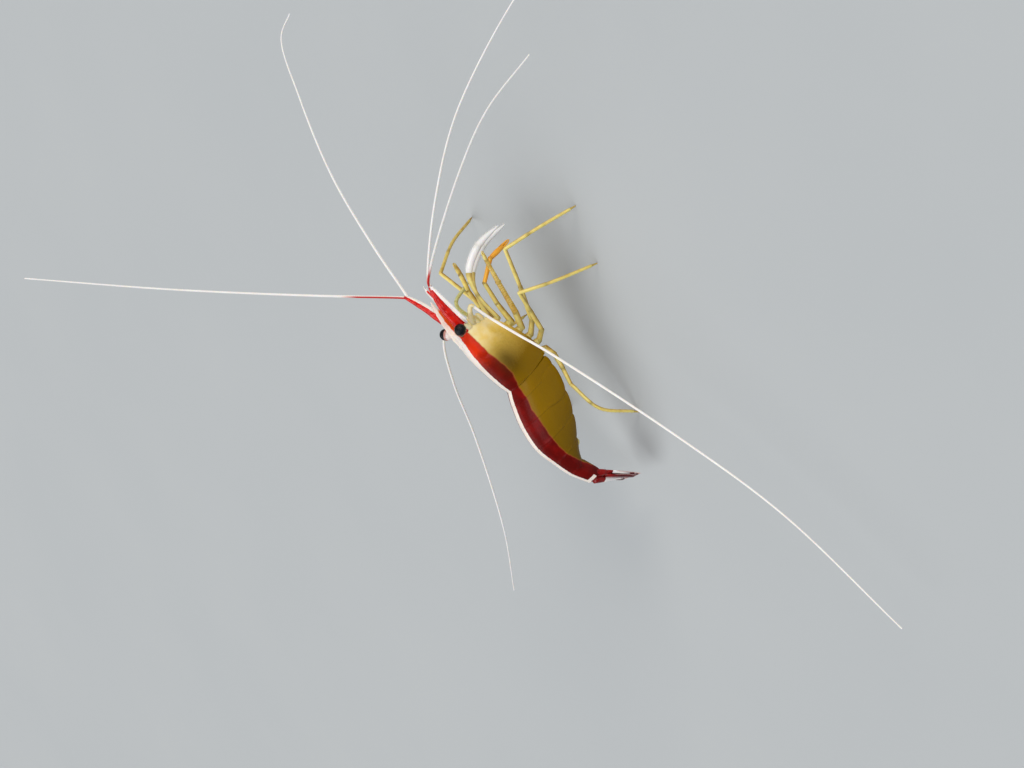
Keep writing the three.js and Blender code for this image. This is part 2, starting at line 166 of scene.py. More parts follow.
# A closed skin over rings of equal point count. Each end closes to a pole or with one face.
def loftShape(rings, marks, ends=("pole", "pole")):
    rings = np.asarray(rings, float)
    rows, count = rings.shape[:2]
    row, column = np.mgrid[0:rows - 1, 0:count]
    here, beside = row * count + column, row * count + (column + 1) % count
    faces = np.stack((here, beside, beside + count, here + count), -1).reshape(-1, 4).tolist()
    points = rings.reshape(-1, 3)
    values = {name: np.broadcast_to(value, (rows, count)).ravel() for name, value in marks.items()}
    for end, first in zip(ends, (0, (rows - 1) * count)):
        ring = list(range(first, first + count))
        if first == 0:
            ring.reverse()
        if end == "face":
            faces.append(ring)
        else:
            pole = len(points)
            points = np.vstack((points, points[ring].mean(0)))
            values = {name: np.append(value, value[ring].mean()) for name, value in values.items()}
            faces += [(ring[i], ring[(i + 1) % count], pole) for i in range(count)]
    return points, facesOutward(points, faces), values


# A round or oval tube with domed ends; each row of radii may be one number or (across, up).
def tubeShape(path, radii, count=12, up=(0, 0, 1), domes=(0.7, 0.7), marks=None):
    path = np.asarray(path, float)
    radii = np.asarray(radii, float).reshape(len(path), -1) * np.ones((1, 2))
    heading = headings(path)
    lift, lifts = np.asarray(up, float), []
    for direction in heading:
        lift = lift - direction * lift.dot(direction)
        if np.linalg.norm(lift) < 0.15:
            lift = np.cross(direction, (0, 1, 0))
        lift = unit(lift)
        lifts.append(lift)
    lifts = np.array(lifts)
    latitudes = np.radians((85, 65, 42, 20))
    order = np.concatenate((np.zeros(4, int), np.arange(len(path)), np.full(4, len(path) - 1)))
    narrow = np.concatenate((np.cos(latitudes), np.ones(len(path)), np.cos(latitudes[::-1])))
    reach = np.concatenate((-domes[0] * np.sin(latitudes), np.zeros(len(path)),
                            domes[1] * np.sin(latitudes[::-1]))) * radii[order].mean(1)
    centres = path[order] + heading[order] * reach[:, None]
    angle = roundAngles(count)
    across = np.cross(heading, lifts)[order][:, None] * np.cos(angle)[None, :, None]
    upward = lifts[order][:, None] * np.sin(angle)[None, :, None]
    size = radii[order] * narrow[:, None]
    rings = centres[:, None] + across * size[:, :1, None] + upward * size[:, 1:, None]
    values = {name: np.asarray(value, float)[order][:, None] for name, value in (marks or {}).items()}
    values["along"] = (distances(path)[order] + reach)[:, None]
    values["facingUp"] = (across + upward) @ upOfBody
    values["facingLeft"] = (across + upward)[..., 1]
    return loftShape(rings, values)


def spineShape(root, tip, radius, count=8, marks=None):
    share = np.linspace(0, 1, 7)
    points, faces, values = tubeShape(root + (tip - root) * share[:, None],
                                      radius * (1 - share) ** 0.8 + 0.02, count, domes=(0.2, 0.6))
    return points, faces, {**values, **(marks or {})}


def addObject(name, data):
    thing = bpy.data.objects.new(name, data)
    bpy.context.scene.collection.objects.link(thing)
    return thing


def finishPiece(mesh, name, nodes):
    piece = addObject(name, mesh)
    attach(piece, "root")
    if nodes:
        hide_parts(*nodes)


def pieceName(node):
    first, *others = node.split("_")
    return first + "".join(word.title() for word in others)


def makePiece(name, shapes, material, nodes, marks, sharp=None):
    points, faces, values = joinShapes(shapes)
    mesh = bpy.data.meshes.new(name)
    mesh.from_pydata(((points + shift) * mm).tolist(), [], faces)
    for mark in marks:
        attribute = mesh.attributes.new(mark, "FLOAT", "POINT")
        value = values.get(mark, np.zeros(len(points)))
        attribute.data.foreach_set("value", value.astype(np.float32))
    mesh.shade_smooth()
    if sharp:
        mesh.set_sharp_from_angle(angle=math.radians(sharp))
    mesh.materials.append(material)
    finishPiece(mesh, name, nodes)


def newTree(name, sockets):
    tree = bpy.data.node_groups.new(name, "GeometryNodeTree")
    for label, kind in {"Geometry": "Geometry", **sockets}.items():
        tree.interface.new_socket(label, in_out="INPUT", socket_type="NodeSocket" + kind)
    tree.interface.new_socket("Geometry", in_out="OUTPUT", socket_type="NodeSocketGeometry")
    return tree, addNode(tree, "NodeGroupInput").node.outputs


# The last nodes of every tree: real mesh, smooth, in its material.
def endTree(tree, geometry, material):
    real = addNode(tree, "GeometryNodeRealizeInstances", {"Geometry": geometry})
    smooth = addNode(tree, "GeometryNodeSetShadeSmooth", {"Geometry": real})
    dressed = addNode(tree, "GeometryNodeSetMaterial", {"Geometry": smooth, "Material": material})
    addNode(tree, "NodeGroupOutput", {"Geometry": dressed})
    return tree


# Runs a tree on routes of points, one after another, and makes one plain piece of the result.
def growPiece(name, routes, tree, values, nodes=(), leans=None):
    base = bpy.data.meshes.new(name + "Route")
    points = np.vstack(routes)
    starts = np.cumsum([0] + [len(route) for route in routes])
    edges = [(i, i + 1) for a, b in zip(starts, starts[1:]) for i in range(a, b - 1)]
    base.from_pydata(((points + shift) * mm).tolist(), edges, [])
    if leans is not None:
        attribute = base.attributes.new("lean", "FLOAT_VECTOR", "POINT")
        attribute.data.foreach_set("vector", np.vstack(leans).astype(np.float32).ravel())
    holder = addObject(base.name, base)
    modifier = holder.modifiers.new("grow", "NODES")
    modifier.node_group = tree
    for item in tree.interface.items_tree:
        if item.in_out == "INPUT" and item.name in values:
            modifier[item.identifier] = values[item.name]
    graph = bpy.context.evaluated_depsgraph_get()
    mesh = bpy.data.meshes.new_from_object(holder.evaluated_get(graph))
    mesh.name = name
    bpy.data.objects.remove(holder)
    bpy.data.meshes.remove(base)
    finishPiece(mesh, name, nodes)


# The camera looks at the animal's right flank from a little above, turned on its side.
cameraPlace = {
    "aim": (0.93, -0.65, 19.23),     # the point at the middle of the frame
    "azimuth": 4.597, "elevation": 29.679, "roll": -119.812,
    "distance": 447.3,
    "lens": 85, "sensor": 36,
    "clip": (0.01, 50),              # metres
}


def placeCamera():
    azimuth, elevation, roll = (math.radians(cameraPlace[key]) for key in ("azimuth", "elevation", "roll"))
    backward = Vector((math.sin(azimuth) * math.cos(elevation), -math.cos(azimuth) * math.cos(elevation),
                       math.sin(elevation)))
    levelRight = (-backward).cross(Vector((0, 0, 1))).normalized()
    imageRight = levelRight * math.cos(roll) + backward.cross(levelRight) * math.sin(roll)
    turn = Matrix((imageRight, backward.cross(imageRight), backward)).transposed().to_4x4()
    optics = bpy.data.cameras.new("studioCamera")
    optics.lens, optics.sensor_width = cameraPlace["lens"], cameraPlace["sensor"]
    optics.clip_start, optics.clip_end = cameraPlace["clip"]
    camera = addObject("studioCamera", optics)
    target = (Vector(cameraPlace["aim"]) + Vector(shift)) * mm
    camera.matrix_world = Matrix.Translation(target + backward * cameraPlace["distance"] * mm) @ turn
    bpy.context.scene.camera = camera


placeCamera()


# Each pattern's size in millimetres becomes a scale on Object coordinates, which are in metres.
def perMetre(size):
    return 1000 / size


def newMaterial(name, **shaderInputs):
    material = bpy.data.materials.new(name)
    material.use_nodes = True
    tree = material.node_tree
    tree.nodes.clear()
    surface = addNode(tree, "ShaderNodeBsdfPrincipled",
                      {key.replace("_", " "): value for key, value in shaderInputs.items()})
    addNode(tree, "ShaderNodeOutputMaterial", {"Surface": surface})
    return material, tree, surface.node, addNode(tree, "ShaderNodeTexCoord", out="Object")


# Gives a shader its colour: pigments laid over a skin one after another, each as thickly as its
# share says. Then a natural skin's fine unevenness, that moves the gloss a little and bumps the
# surface; its sizes are in millimetres.
def coverShader(tree, shader, place, skin, pigments, grainSize, grainHeight, gloss):
    for share, colour in pigments:
        skin = addNode(tree, "ShaderNodeMix", {0: share, 6: skin, 7: colour}, 2, data_type="RGBA")
    grain = addNode(tree, "ShaderNodeTexNoise",
                    {"Vector": place, "Scale": perMetre(grainSize), "Detail": 3.0})
    shine = addNode(tree, "ShaderNodeMapRange", {0: grain, 3: gloss[0], 4: gloss[1]})
    bump = addNode(tree, "ShaderNodeBump",
                   {"Height": grain, "Strength": 0.5, "Distance": grainHeight * mm})
    for name, value in (("Base Color", skin), ("Roughness", shine), ("Normal", bump)):
        tree.links.new(value, shader.inputs[name])


# What chitin over flesh has in common: its refraction, and light that reddens as it sinks in.
chitin = {"IOR": 1.54, "Subsurface_Radius": (1.0, 0.55, 0.25), "Subsurface_Scale": 0.9 * mm}

# Shell: thin moulted chitin over flesh, smooth and a little translucent, so the colours look deep
# under a wet gloss. Red chromatophores lie as a band beside a white line on the back. The red and the
# flank darken from the brow back to the tail, partly as their own pigment and partly as painted shade.
shellColours = {
    "white": "#f6ebe0", "whiteShade": "#e8d6c8",
    "redFront": "#de3000", "redMiddleShaded": "#640400", "redRearShaded": "#560300",
    "flankFront": "#efcb62", "flankMiddleShaded": "#886600", "flankRearShaded": "#4e3b00",
    "flankEdge": "#f3dfa2",
    "gut": "#3c2a02", "border": "#a85c2c", "warm": "#ff6a20", "cream": "#f6e7b6",
    "redBlotch": "#8f0a04",
}
bandMarkNames = ("stripe", "flank", "forward", "gut", "warm")


def shellMaterial():
    colour = {key: hexColour(value) for key, value in shellColours.items()}
    material, tree, shader, place = newMaterial(
        "chitinShellBanded", **chitin, Specular_IOR_Level=0.1, Subsurface_Weight=0.12,
        Coat_Weight=0.03, Coat_Roughness=0.12)
    mark = {key: addNode(tree, "ShaderNodeAttribute", out="Fac", attribute_name=key)
            for key in bandMarkNames}
    wander, speckle, cloud = (
        addNode(tree, "ShaderNodeTexNoise", {"Vector": place, "Scale": perMetre(size), "Detail": detail})
        for size, detail in ((1.3, 3.0), (0.35, 2.0), (2.6, 2.0)))

    def ramp(share, *stops):
        socket = addNode(tree, "ShaderNodeValToRGB", {0: share})
        elements = socket.node.color_ramp.elements
        while len(elements) < len(stops):
            elements.new(0.5)
        for element, (at, name) in zip(elements, stops):
            element.position, element.color = at, colour[name]
        return socket

    # 1 where a mark is above 0 and 0 where it is below, with an edge that wanders with a noise
    def crossing(value, noise, amount, width):
        moved = addNode(tree, "ShaderNodeMath", {0: noise, 1: amount, 2: value},
                        operation="MULTIPLY_ADD")
        return addNode(tree, "ShaderNodeMapRange",
                       {0: moved, 1: amount / 2 - width, 2: amount / 2 + width},
                       interpolation_type="SMOOTHSTEP")

    # both colours change along the body, from the tail at 0 to the brow at 1; the darker middle and rear
    # are partly pigment and partly painted shade
    alongBody = addNode(tree, "ShaderNodeMapRange", {0: mark["forward"], 1: -24.0, 2: 14.0})
    alongBody = addNode(tree, "ShaderNodeMath", {0: speckle, 1: 0.05, 2: alongBody},
                        operation="MULTIPLY_ADD")
    alongBody = addNode(tree, "ShaderNodeMath", {0: alongBody, 1: 0.025}, operation="SUBTRACT")
    blotch, flesh = (addNode(tree, "ShaderNodeMapRange", {0: cloud, 1: 0.42, 2: 0.62, 3: 0.0, 4: most})
                     for most in (0.4, 0.75))
    atFront = addNode(tree, "ShaderNodeMapRange", {0: mark["forward"], 1: 7.5, 2: 12.0})
    flesh = addNode(tree, "ShaderNodeMath", {0: flesh, 1: atFront}, operation="MULTIPLY")
    faintDarkPatch = addNode(tree, "ShaderNodeMath", {0: mark["gut"], 1: 0.8}, operation="MULTIPLY")
    red = ramp(alongBody, (0.0, "redRearShaded"), (0.45, "redMiddleShaded"), (0.78, "redMiddleShaded"),
               (0.89, "redFront"), (1.0, "redFront"))
    flank = ramp(alongBody, (0.0, "flankRearShaded"), (0.45, "flankMiddleShaded"), (0.7, "flankMiddleShaded"),
                 (0.91, "flankFront"), (0.98, "flankEdge"))
    for share, over in ((blotch, "redBlotch"), (mark["warm"], "warm"), (faintDarkPatch, "gut")):
        red = addNode(tree, "ShaderNodeMix", {0: share, 6: red, 7: colour[over]}, 2, data_type="RGBA")
    for share, over in ((flesh, "cream"), (mark["gut"], "gut")):
        flank = addNode(tree, "ShaderNodeMix", {0: share, 6: flank, 7: colour[over]}, 2,
                        data_type="RGBA")
    white = addNode(tree, "ShaderNodeMix", {0: blotch, 6: colour["white"], 7: colour["whiteShade"]}, 2,
                    data_type="RGBA")

    below = crossing(mark["flank"], wander, 0.5, 0.07)
    # the border between red and flank is strongest where a softer crossing is half way
    under = crossing(mark["flank"], wander, 0.5, 0.2)
    rest = addNode(tree, "ShaderNodeMath", {0: 1.0, 1: under}, operation="SUBTRACT")
    edge = addNode(tree, "ShaderNodeMath", {0: under, 1: rest}, operation="MULTIPLY")
    edge = addNode(tree, "ShaderNodeMath", {0: edge, 1: 1.8}, operation="MULTIPLY")
    onBack = crossing(mark["stripe"], speckle, 0.22, 0.06)
    coverShader(tree, shader, place, red, ((below, flank), (edge, colour["border"]), (onBack, white)),
                0.5, 0.05, (0.28, 0.4))
    return material


shellSkin = shellMaterial()


limbMarks = ("joint", "facingUp")


# A limb's chitin: one pigment along the shaft, paler on the side to the light, another at the joints.
def limbMaterial(name, shaft, pale, joint, gloss=(0.25, 0.42), subsurface=0.25):
    material, tree, shader, place = newMaterial(
        name, **chitin, Specular_IOR_Level=0.4, Subsurface_Weight=subsurface, Coat_Weight=0.1,
        Coat_Roughness=0.15)
    mark = {key: addNode(tree, "ShaderNodeAttribute", out="Fac", attribute_name=key)
            for key in limbMarks}
    fleck = addNode(tree, "ShaderNodeTexNoise",
                    {"Vector": place, "Scale": perMetre(1.4), "Detail": 2.0})
    lit = addNode(tree, "ShaderNodeMath", {0: fleck, 1: 1.6, 2: mark["facingUp"]},
                  operation="MULTIPLY_ADD")
    paleShare = addNode(tree, "ShaderNodeMapRange", {0: lit, 1: 0.3, 2: 1.65})
    jointShare = addNode(tree, "ShaderNodeMath", {0: mark["joint"], 1: 0.5}, operation="MULTIPLY")
    pigments = ((paleShare, hexColour(pale)), (jointShare, hexColour(joint)))
    coverShader(tree, shader, place, hexColour(shaft), pigments, 0.3, 0.03, gloss)
    return material


# Walking legs: translucent yellow chitin, ochre where the joints fold it double.
legSkin = limbMaterial("chitinLegYellow", "#a37c12", "#f0dc7e", "#8f6a14")
# Claws: the same skin over muscle, so it is fuller and more orange.
clawSkin = limbMaterial("chitinClawOrange", "#ee9a12", "#f7bd42", "#e08a10")
# Beaded legs and the mouth feet's roots: thicker rings, so a denser yellow.
beadSkin = limbMaterial("chitinBeadedYellow", "#b98c12", "#f2e088", "#966f14")
# The left beaded leg: thin skin over greenish blood.
paleLegSkin = limbMaterial("chitinLegPaleGreen", "#b9b66a", "#dcdca6", "#8f8f3c")
# Mouth and antenna roots: thicker and nearly opaque, like old ivory.
creamSkin = limbMaterial("chitinCream", "#e6cd84", "#f6ebc4", "#dcb76a")
# Mouth feet: opaque white pigment under a matt, bristly skin.
whiteLimbSkin = limbMaterial("chitinWhitePigmented", "#f5f5f6", "#ffffff", "#f1eedd", (0.35, 0.5), 0.12)
# Eyestalks: thin and pinkish, with a red patch on the cup's rim.
stalkSkin = limbMaterial("chitinStalkPink", "#f2dcd2", "#fbf2ec", "#b0442c")
# Swimmerets: thin clear paddles with a yellow cast.
paddleSkin = limbMaterial("chitinPaddleClear", "#cdb04a", "#e6d78c", "#9c7c1c", subsurface=0.5)
# Bristles: stiff clear hairs, that catch the light as pale lines; those of the tail are reddish.
bristleSkin = limbMaterial("chitinBristle", "#efe9dc", "#ffffff", "#efe9dc")
tailBristleSkin = limbMaterial("chitinTailBristle", "#b4736c", "#d9b0a6", "#8a2a22")


redWhiteMarks = ("white", "dusk")


# Red chitin, white where the mark "white" is above 0, and darker by its dusky mark: painted shade
# towards the tail fan's tips, and a slight darkening at each antennule's end.
def redWhiteMaterial(name, red, deep, white, dusk):
    material, tree, shader, place = newMaterial(
        name, **chitin, Specular_IOR_Level=0.2, Subsurface_Weight=0.12, Coat_Weight=0.12,
        Coat_Roughness=0.12)
    mark = {key: addNode(tree, "ShaderNodeAttribute", out="Fac", attribute_name=key)
            for key in redWhiteMarks}
    wander = addNode(tree, "ShaderNodeTexNoise",
                     {"Vector": place, "Scale": perMetre(0.8), "Detail": 3.0})
    moved = addNode(tree, "ShaderNodeMath", {0: wander, 1: 0.3, 2: mark["white"]},
                    operation="MULTIPLY_ADD")
    isWhite = addNode(tree, "ShaderNodeMapRange", {0: moved, 1: 0.15 - 0.06, 2: 0.15 + 0.06},
                      interpolation_type="SMOOTHSTEP")
    blotch = addNode(tree, "ShaderNodeMapRange", {0: wander, 1: 0.42, 2: 0.65})
    pigments = ((blotch, hexColour(deep)), (isWhite, hexColour(white)), (mark["dusk"], hexColour(dusk)))
    coverShader(tree, shader, place, hexColour(red), pigments, 0.4, 0.04, (0.14, 0.3))
    return material


# Antennules and scales: bright vermilion pigment, glossy as lacquer, with chalk-white margins.
antennuleSkin = redWhiteMaterial("chitinVermilion", "#dd1a08", "#b80d0c", "#f8f2ec", "#8e0f1a")
# Tail fan: the same pigment, denser, so it is nearly crimson; its red is also darkened as painted shade,
# to match the shaded rear of the body.
tailSkin = redWhiteMaterial("chitinCrimson", "#8c0504", "#690303", "#f1ebe8", "#480f18")


# Feelers: bare horny rings, white pigment throughout and red on the upper side of the root.
def feelerMaterial():
    material, tree, shader, place = newMaterial(
        "chitinFeelerWhite", **chitin, Specular_IOR_Level=0.2, Subsurface_Weight=0.15)
    rootRed = addNode(tree, "ShaderNodeAttribute", out="Fac", attribute_name="rootRed")
    mottle = addNode(tree, "ShaderNodeTexNoise",
                     {"Vector": place, "Scale": perMetre(2.2), "Detail": 2.0})
    outward = addNode(tree, "ShaderNodeNewGeometry", out="Normal")
    downward = addNode(tree, "ShaderNodeVectorMath", {0: outward, 1: tuple(-upOfBody)}, "Value",
                       operation="DOT_PRODUCT")
    above = addNode(tree, "ShaderNodeMapRange", {0: downward, 1: -0.6, 2: 0.15, 3: 1.0, 4: 0.0})
    redness = addNode(tree, "ShaderNodeMath", {0: rootRed, 1: above}, operation="MULTIPLY")
    pigments = ((mottle, hexColour("#ece4dd")), (redness, hexColour("#c01a12")))
    coverShader(tree, shader, place, hexColour("#fbfaf8"), pigments, 0.25, 0.02, (0.35, 0.5))
    return material


# Eyes: black screening pigment behind clear lenses, so they are dark and wet with a blue glint.
def corneaMaterial():
    material, tree, shader, place = newMaterial(
        "corneaBlack", IOR=1.5, Specular_IOR_Level=0.1, Coat_Weight=0.25, Coat_Roughness=0.04)
    cloud = addNode(tree, "ShaderNodeTexNoise",
                    {"Vector": place, "Scale": perMetre(1.0), "Detail": 2.0})
    coverShader(tree, shader, place, hexColour("#050507"), ((cloud, hexColour("#0b0c12")),), 0.2, 0.01,
                (0.12, 0.22))
    return material


feelerSkin, corneaSkin = feelerMaterial(), corneaMaterial()
print("materials ready")


# The shells of the trunk. Each row is one cross-section: [forward, up] of its top, [forward, up]
# of its lower edge, half its width, and its hollow underside as a share of its height.
carapace = {
    "sections": [
        (-0.1, -0.15, -0.9, -9.7, 3.8, 0.12), (1.6, 0.05, 1.2, -10.1, 4.0, 0.12),
        (4.5, 0.1, 4.4, -9.9, 4.05, 0.12), (7.4, 0, 7.5, -9.3, 3.85, 0.12),
        (10, -0.25, 10.2, -8.5, 3.4, 0.1), (12, -0.7, 12.2, -7.6, 2.8, 0.08),
        (13.3, -1.1, 13.5, -6.6, 2.2, 0.06)],
    "length": 14.0, "rows": 92,
    "wall": 0.16, "recess": 0.9,     # thickness of the rims, and how far in the front is closed
    # the front edge: how far it stands forwards, at which share of the height, over what spread.
    # A notch for the eyestalk, a spine below it, the cheek, the rostrum's root, and two small spines.
    "front": [(-0.15, 0.88, 0.05), (0.6, 0.72, 0.035), (1.25, 0.47, 0.19), (1.7, 1.0, 0.09),
              (0.4, 0.56, 0.02), (0.45, 0.36, 0.025)],
    "cheek": (0.62, 1.5, 2.2),       # the height it falls back from, how far, and how late
    "groove": (0.1, 8.6, 3.2, 0.35), # depth, place on the back, fall rearwards to the edge, half width
}
abdomen = {
    "sections": [
        (-0.4, -0.1, -1.2, -9.6, 3.7, 0.16), (-2.4, 1.45, -3.6, -9.2, 3.8, 0.2),
        (-6.2, 3.65, -8, -7.3, 3.75, 0.22), (-10.9, 5.1, -12, -4.8, 3.4, 0.22),
        (-15.5, 4.9, -15.3, -1.9, 2.8, 0.2), (-19.2, 4.4, -18.5, 0.7, 2.2, 0.1),
        (-23.2, 3, -23.4, -0.1, 1.7, 0.06)],
    "rows": 40,
    # how far each somite's side flap reaches forwards and backwards, and how far it stands out
    "flaps": [(0.0, 0.3, 0.0), (0.9, 0.8, 0.16), (0.0, 0.7, 0.0), (0.0, 0.6, 0.02),
              (0.0, 0.4, 0.02), (0.0, 0.0, 0.0)],
    "lift": 0.55,                    # how far a flap's lower edge rises at its two ends
    "lip": 0.028, "neck": 0.055,     # how far a rear rim stands out, and the front edge draws in
    "knob": 0.1,                     # height of the hinge knob on each side of a rear rim
}
# The lower edge of the red band, [forward, up], and half the width of the white line.
band = {
    "edge": [(-23.7, -0.5), (-20.4, 0.9), (-18, 2.1), (-15.8, 2.7), (-13.2, 2.8), (-10.4, 2.4),
             (-7.7, 1.6), (-5.1, 0.8), (-2.7, -0.4), (-0.2, -1.4), (2.2, -2.1), (4.8, -2.15),
             (7.1, -2.1), (9.2, -2.2), (11.3, -2.55), (13.5, -2.8)],
    "line": [(-24, 0.62), (-18, 0.6), (-6, 0.66), (0, 0.6), (5, 0.75), (9, 1.0), (12, 1.15),
             (14, 1.1)],
    "tailBar": (-22.7, 0.34, 0.6),    # centre, half length and lower end of the bar that ends it
    "gut": (4.5, -3.1, 3.2, 1.9),     # forward, up and half sizes of a dark patch on the flank, across the lower edge of the red band
    "darkPatchDepth": 0.72,
}


# A ring's points: across as a share of the half width, up as a share of the height, and how much of
# the hollow underside each one takes. The rim is thick and turns in to that underside.
def shellProfile(steps):
    angle = np.linspace(0, math.pi, steps)
    sine = np.sin(angle)
    across = np.where(angle < math.pi / 2, sine * (0.86 + 0.14 * sine ** 2),
                      1 - 0.3 * np.cos(angle) ** 2)
    outside = np.column_stack((across, 0.5 + 0.5 * np.cos(angle), 0 * angle))
    rim = [(0.695, -0.008, 0), (0.672, -0.014, 0), (0.645, -0.011, 0), (0.622, 0, 0)]
    inside = [(0.6, 0.03, 0), (0.58, 0, 0.4), (0.545, 0, 0.75), (0.48, 0, 0.97), (0.38, 0, 1.06),
              (0.25, 0, 1.13), (0.12, 0, 1.18)]
    right = np.vstack((outside, rim, inside))
    return np.vstack((right, (0, 0, 1.2), right[:0:-1] * (-1, 1, 1)))


def bell(value, centre, width):
    return np.exp(-((value - centre) / width) ** 2)


profile = shellProfile(46)


# A shell's ring at t. It is drawn in by the inset, its lower edge rises by the lift, and each point
# stands at t and its push.
def shellRing(sections, t, inset, lift=0.0, push=0.0):
    across, height, hollow = profile.T
    t = np.broadcast_to(t, across.shape) + push
    topF, topU, lowF, lowU, width, deep = smoothRun(sections, t).T
    tall = np.hypot(topF - lowF, topU - lowU)
    height = height + hollow * deep
    side = across * np.maximum(width - inset, 0.05)
    height = 0.5 + (height - 0.5) * (1 - 2 * inset / tall)
    height = height + (lift / tall) * (1 - height)
    return np.column_stack((lowF + (topF - lowF) * height, side, lowU + (topU - lowU) * height)), height


def bandMarks(points, height):
    forward, left, up = points[..., 0], points[..., 1], points[..., 2]
    edge, line = np.array(band["edge"]), np.array(band["line"])
    stripe = np.interp(forward, line[:, 0], line[:, 1]) - np.abs(left)
    barAt, barLength, barDown = band["tailBar"]
    bar = np.minimum(barLength - np.abs(forward - barAt), (height - barDown) * 3)
    stripe = np.minimum(np.maximum(stripe, bar), (forward + 23.3) * 1.5)
    stripe = np.where(height > 0.45, stripe, -2)
    patchForward, patchUp, patchLong, patchTall = band["gut"]
    return {"stripe": np.clip(stripe, -2, 2), "forward": forward,
            "gut": bell(forward, patchForward, patchLong) * bell(up, patchUp, patchTall) * band["darkPatchDepth"],
            "flank": np.clip(np.interp(forward, edge[:, 0], edge[:, 1]) - up, -3, 3)}


def shellFrom(rings, heights):
    rings = np.array(rings)
    marks = {**bandMarks(rings, np.array(heights)), "warm": 0.0}
    return loftShape(fromBody(rings), marks, ("face", "face"))


# How far the carapace's front edge stands forwards at each height.
def frontEdge(height):
    top, back, late = carapace["cheek"]
    cheek = -back * np.clip((top - height) / top, 0, 1) ** late
    return cheek + sum(reach * bell(height, at, spread) for reach, at, spread in carapace["front"])


def carapaceShape():
    wall, rear = carapace["wall"], -0.045        # where it starts, as a share of its length
    depth, onBack, fall, spread = carapace["groove"]
    rings, heights = [], []

    def add(t, inset, forwards):
        ring, height = shellRing(carapace["sections"], t, inset)
        ring[:, 0] += frontEdge(height) * forwards
        groove = (depth * bell(ring[:, 0], onBack - fall * (1 - height), spread)
                  * np.clip(height * 2 - 0.5, 0, 1))
        ring[:, 1] -= np.sign(ring[:, 1]) * np.minimum(groove, np.abs(ring[:, 1]))
        rings.append(ring)
        heights.append(height)

    for t, inset in ((0.08, 0.25), (0.01, 0.1), (0, 0.06)):
        add(rear + t, inset, 0)
    for t in np.linspace(rear, 1, carapace["rows"]):
        rims = 0.05 * bell(t, rear + 0.012, 0.012) + 0.04 * bell(t, 0.99, 0.012)
        add(t, -rims, np.clip((t - 0.72) / 0.28, 0, 1) ** 2)
    for t, inset, forwards in ((1.004, 0.05, 1), (1.002, wall, 1), (0.985, wall + 0.06, 0.9),
                               (1 - carapace["recess"] / carapace["length"], wall + 0.25, 0)):
        add(t, inset, forwards)
    return shellFrom(rings, heights)


rostrum = {
    "from": 9.3, "to": 21.8,
    "crest": (-0.35, -3.45), "arch": 0.9,            # height of its two ends, and the rise between
    "under": ((9.5, -1.3), (16.0, -3.35), (21.8, -3.7)),
    "teeth": 6, "toothHeight": 0.13,
    "lowerTeeth": (16.9, 18.2, 19.4),
    "halfThickness": [(9.3, 1.0), (12, 1.0), (13.6, 0.85), (15.2, 0.52), (17, 0.34), (20, 0.22),
                      (21.8, 0.06)],
    # its right half in section: across as a share of the half thickness, up as a share of the height
    "section": [(0, 1), (0.16, 0.97), (0.45, 0.8), (0.72, 0.62), (1, 0.52), (0.78, 0.42), (0.5, 0.2),
                (0.18, 0.03), (0, 0)],
    "white": [(13.8, 3), (15.2, 1.1), (17, 0.85), (19.5, 0.7), (21, 1.2)],   # how far down it is white
}


# An upright blade: saw teeth along the crest, three small ones below, and a rib on each side.
def rostrumShape():
    begin, end, teeth = rostrum["from"], rostrum["to"], rostrum["teeth"]
    spacing = (end - begin) / (teeth + 1)
    stations = set(np.round(np.linspace(begin, end, 110), 3))
    for i in range(1, teeth + 1):
        stations |= {round(begin + spacing * i + part * spacing, 3) for part in (0, 0.7, 0.74, 0.8)}
    for at in rostrum["lowerTeeth"]:
        stations |= {round(at + part, 3) for part in (-0.6, 0, 0.06, 0.14)}
    forward = np.array(sorted(x for x in stations if begin <= x <= end))
    share = (forward - begin) / (end - begin)
    low, high = rostrum["crest"][::-1]
    crest = high + (low - high) * share + rostrum["arch"] * np.sin(math.pi * share)
    phase = (forward - begin) / spacing % 1
    tooth = np.where(phase < 0.72, (phase / 0.72) ** 1.6, np.clip((0.8 - phase) / 0.08, 0, 1))
    tooth = np.where((share * (teeth + 1) >= 1) & (share < 0.985), tooth, 0)
    s = np.linspace(0, 1, 60)[:, None]
    a, b, c = (np.array(point) for point in rostrum["under"])
    curve = a * (1 - s) ** 2 + 2 * b * s * (1 - s) + c * s ** 2
    under = np.interp(forward, curve[:, 0], curve[:, 1])
    for at in rostrum["lowerTeeth"]:
        gone = forward - at
        under = under - 0.1 * np.where(gone < 0, np.clip(1 + gone / 0.6, 0, 1) ** 1.5,
                                       np.clip(1 - gone / 0.14, 0, 1))
    crest = np.maximum(crest + tooth * rostrum["toothHeight"], under + 0.05)
    half, whiteTall = (np.interp(forward, *np.transpose(rostrum[key]))[:, None]
                       for key in ("halfThickness", "white"))
    right = np.array(rostrum["section"])
    across, level = np.vstack((right, right[-2:0:-1] * (-1, 1))).T
    forward, crest, under = forward[:, None], crest[:, None], under[:, None]
    up = under + (crest - under) * level
    ring = np.stack((np.broadcast_to(forward, up.shape), half * across, up), -1)
    marks = {"stripe": np.clip(whiteTall - (crest - up), -2, 2), "flank": -2.0,
             "forward": ring[..., 0], "warm": np.clip((forward - 12.5) / 2, 0, 1)}
    return loftShape(fromBody(ring), marks)


makePiece("carapaceShell", [carapaceShape(), rostrumShape()], shellSkin, ["carapace"],
          bandMarkNames, sharp=48)


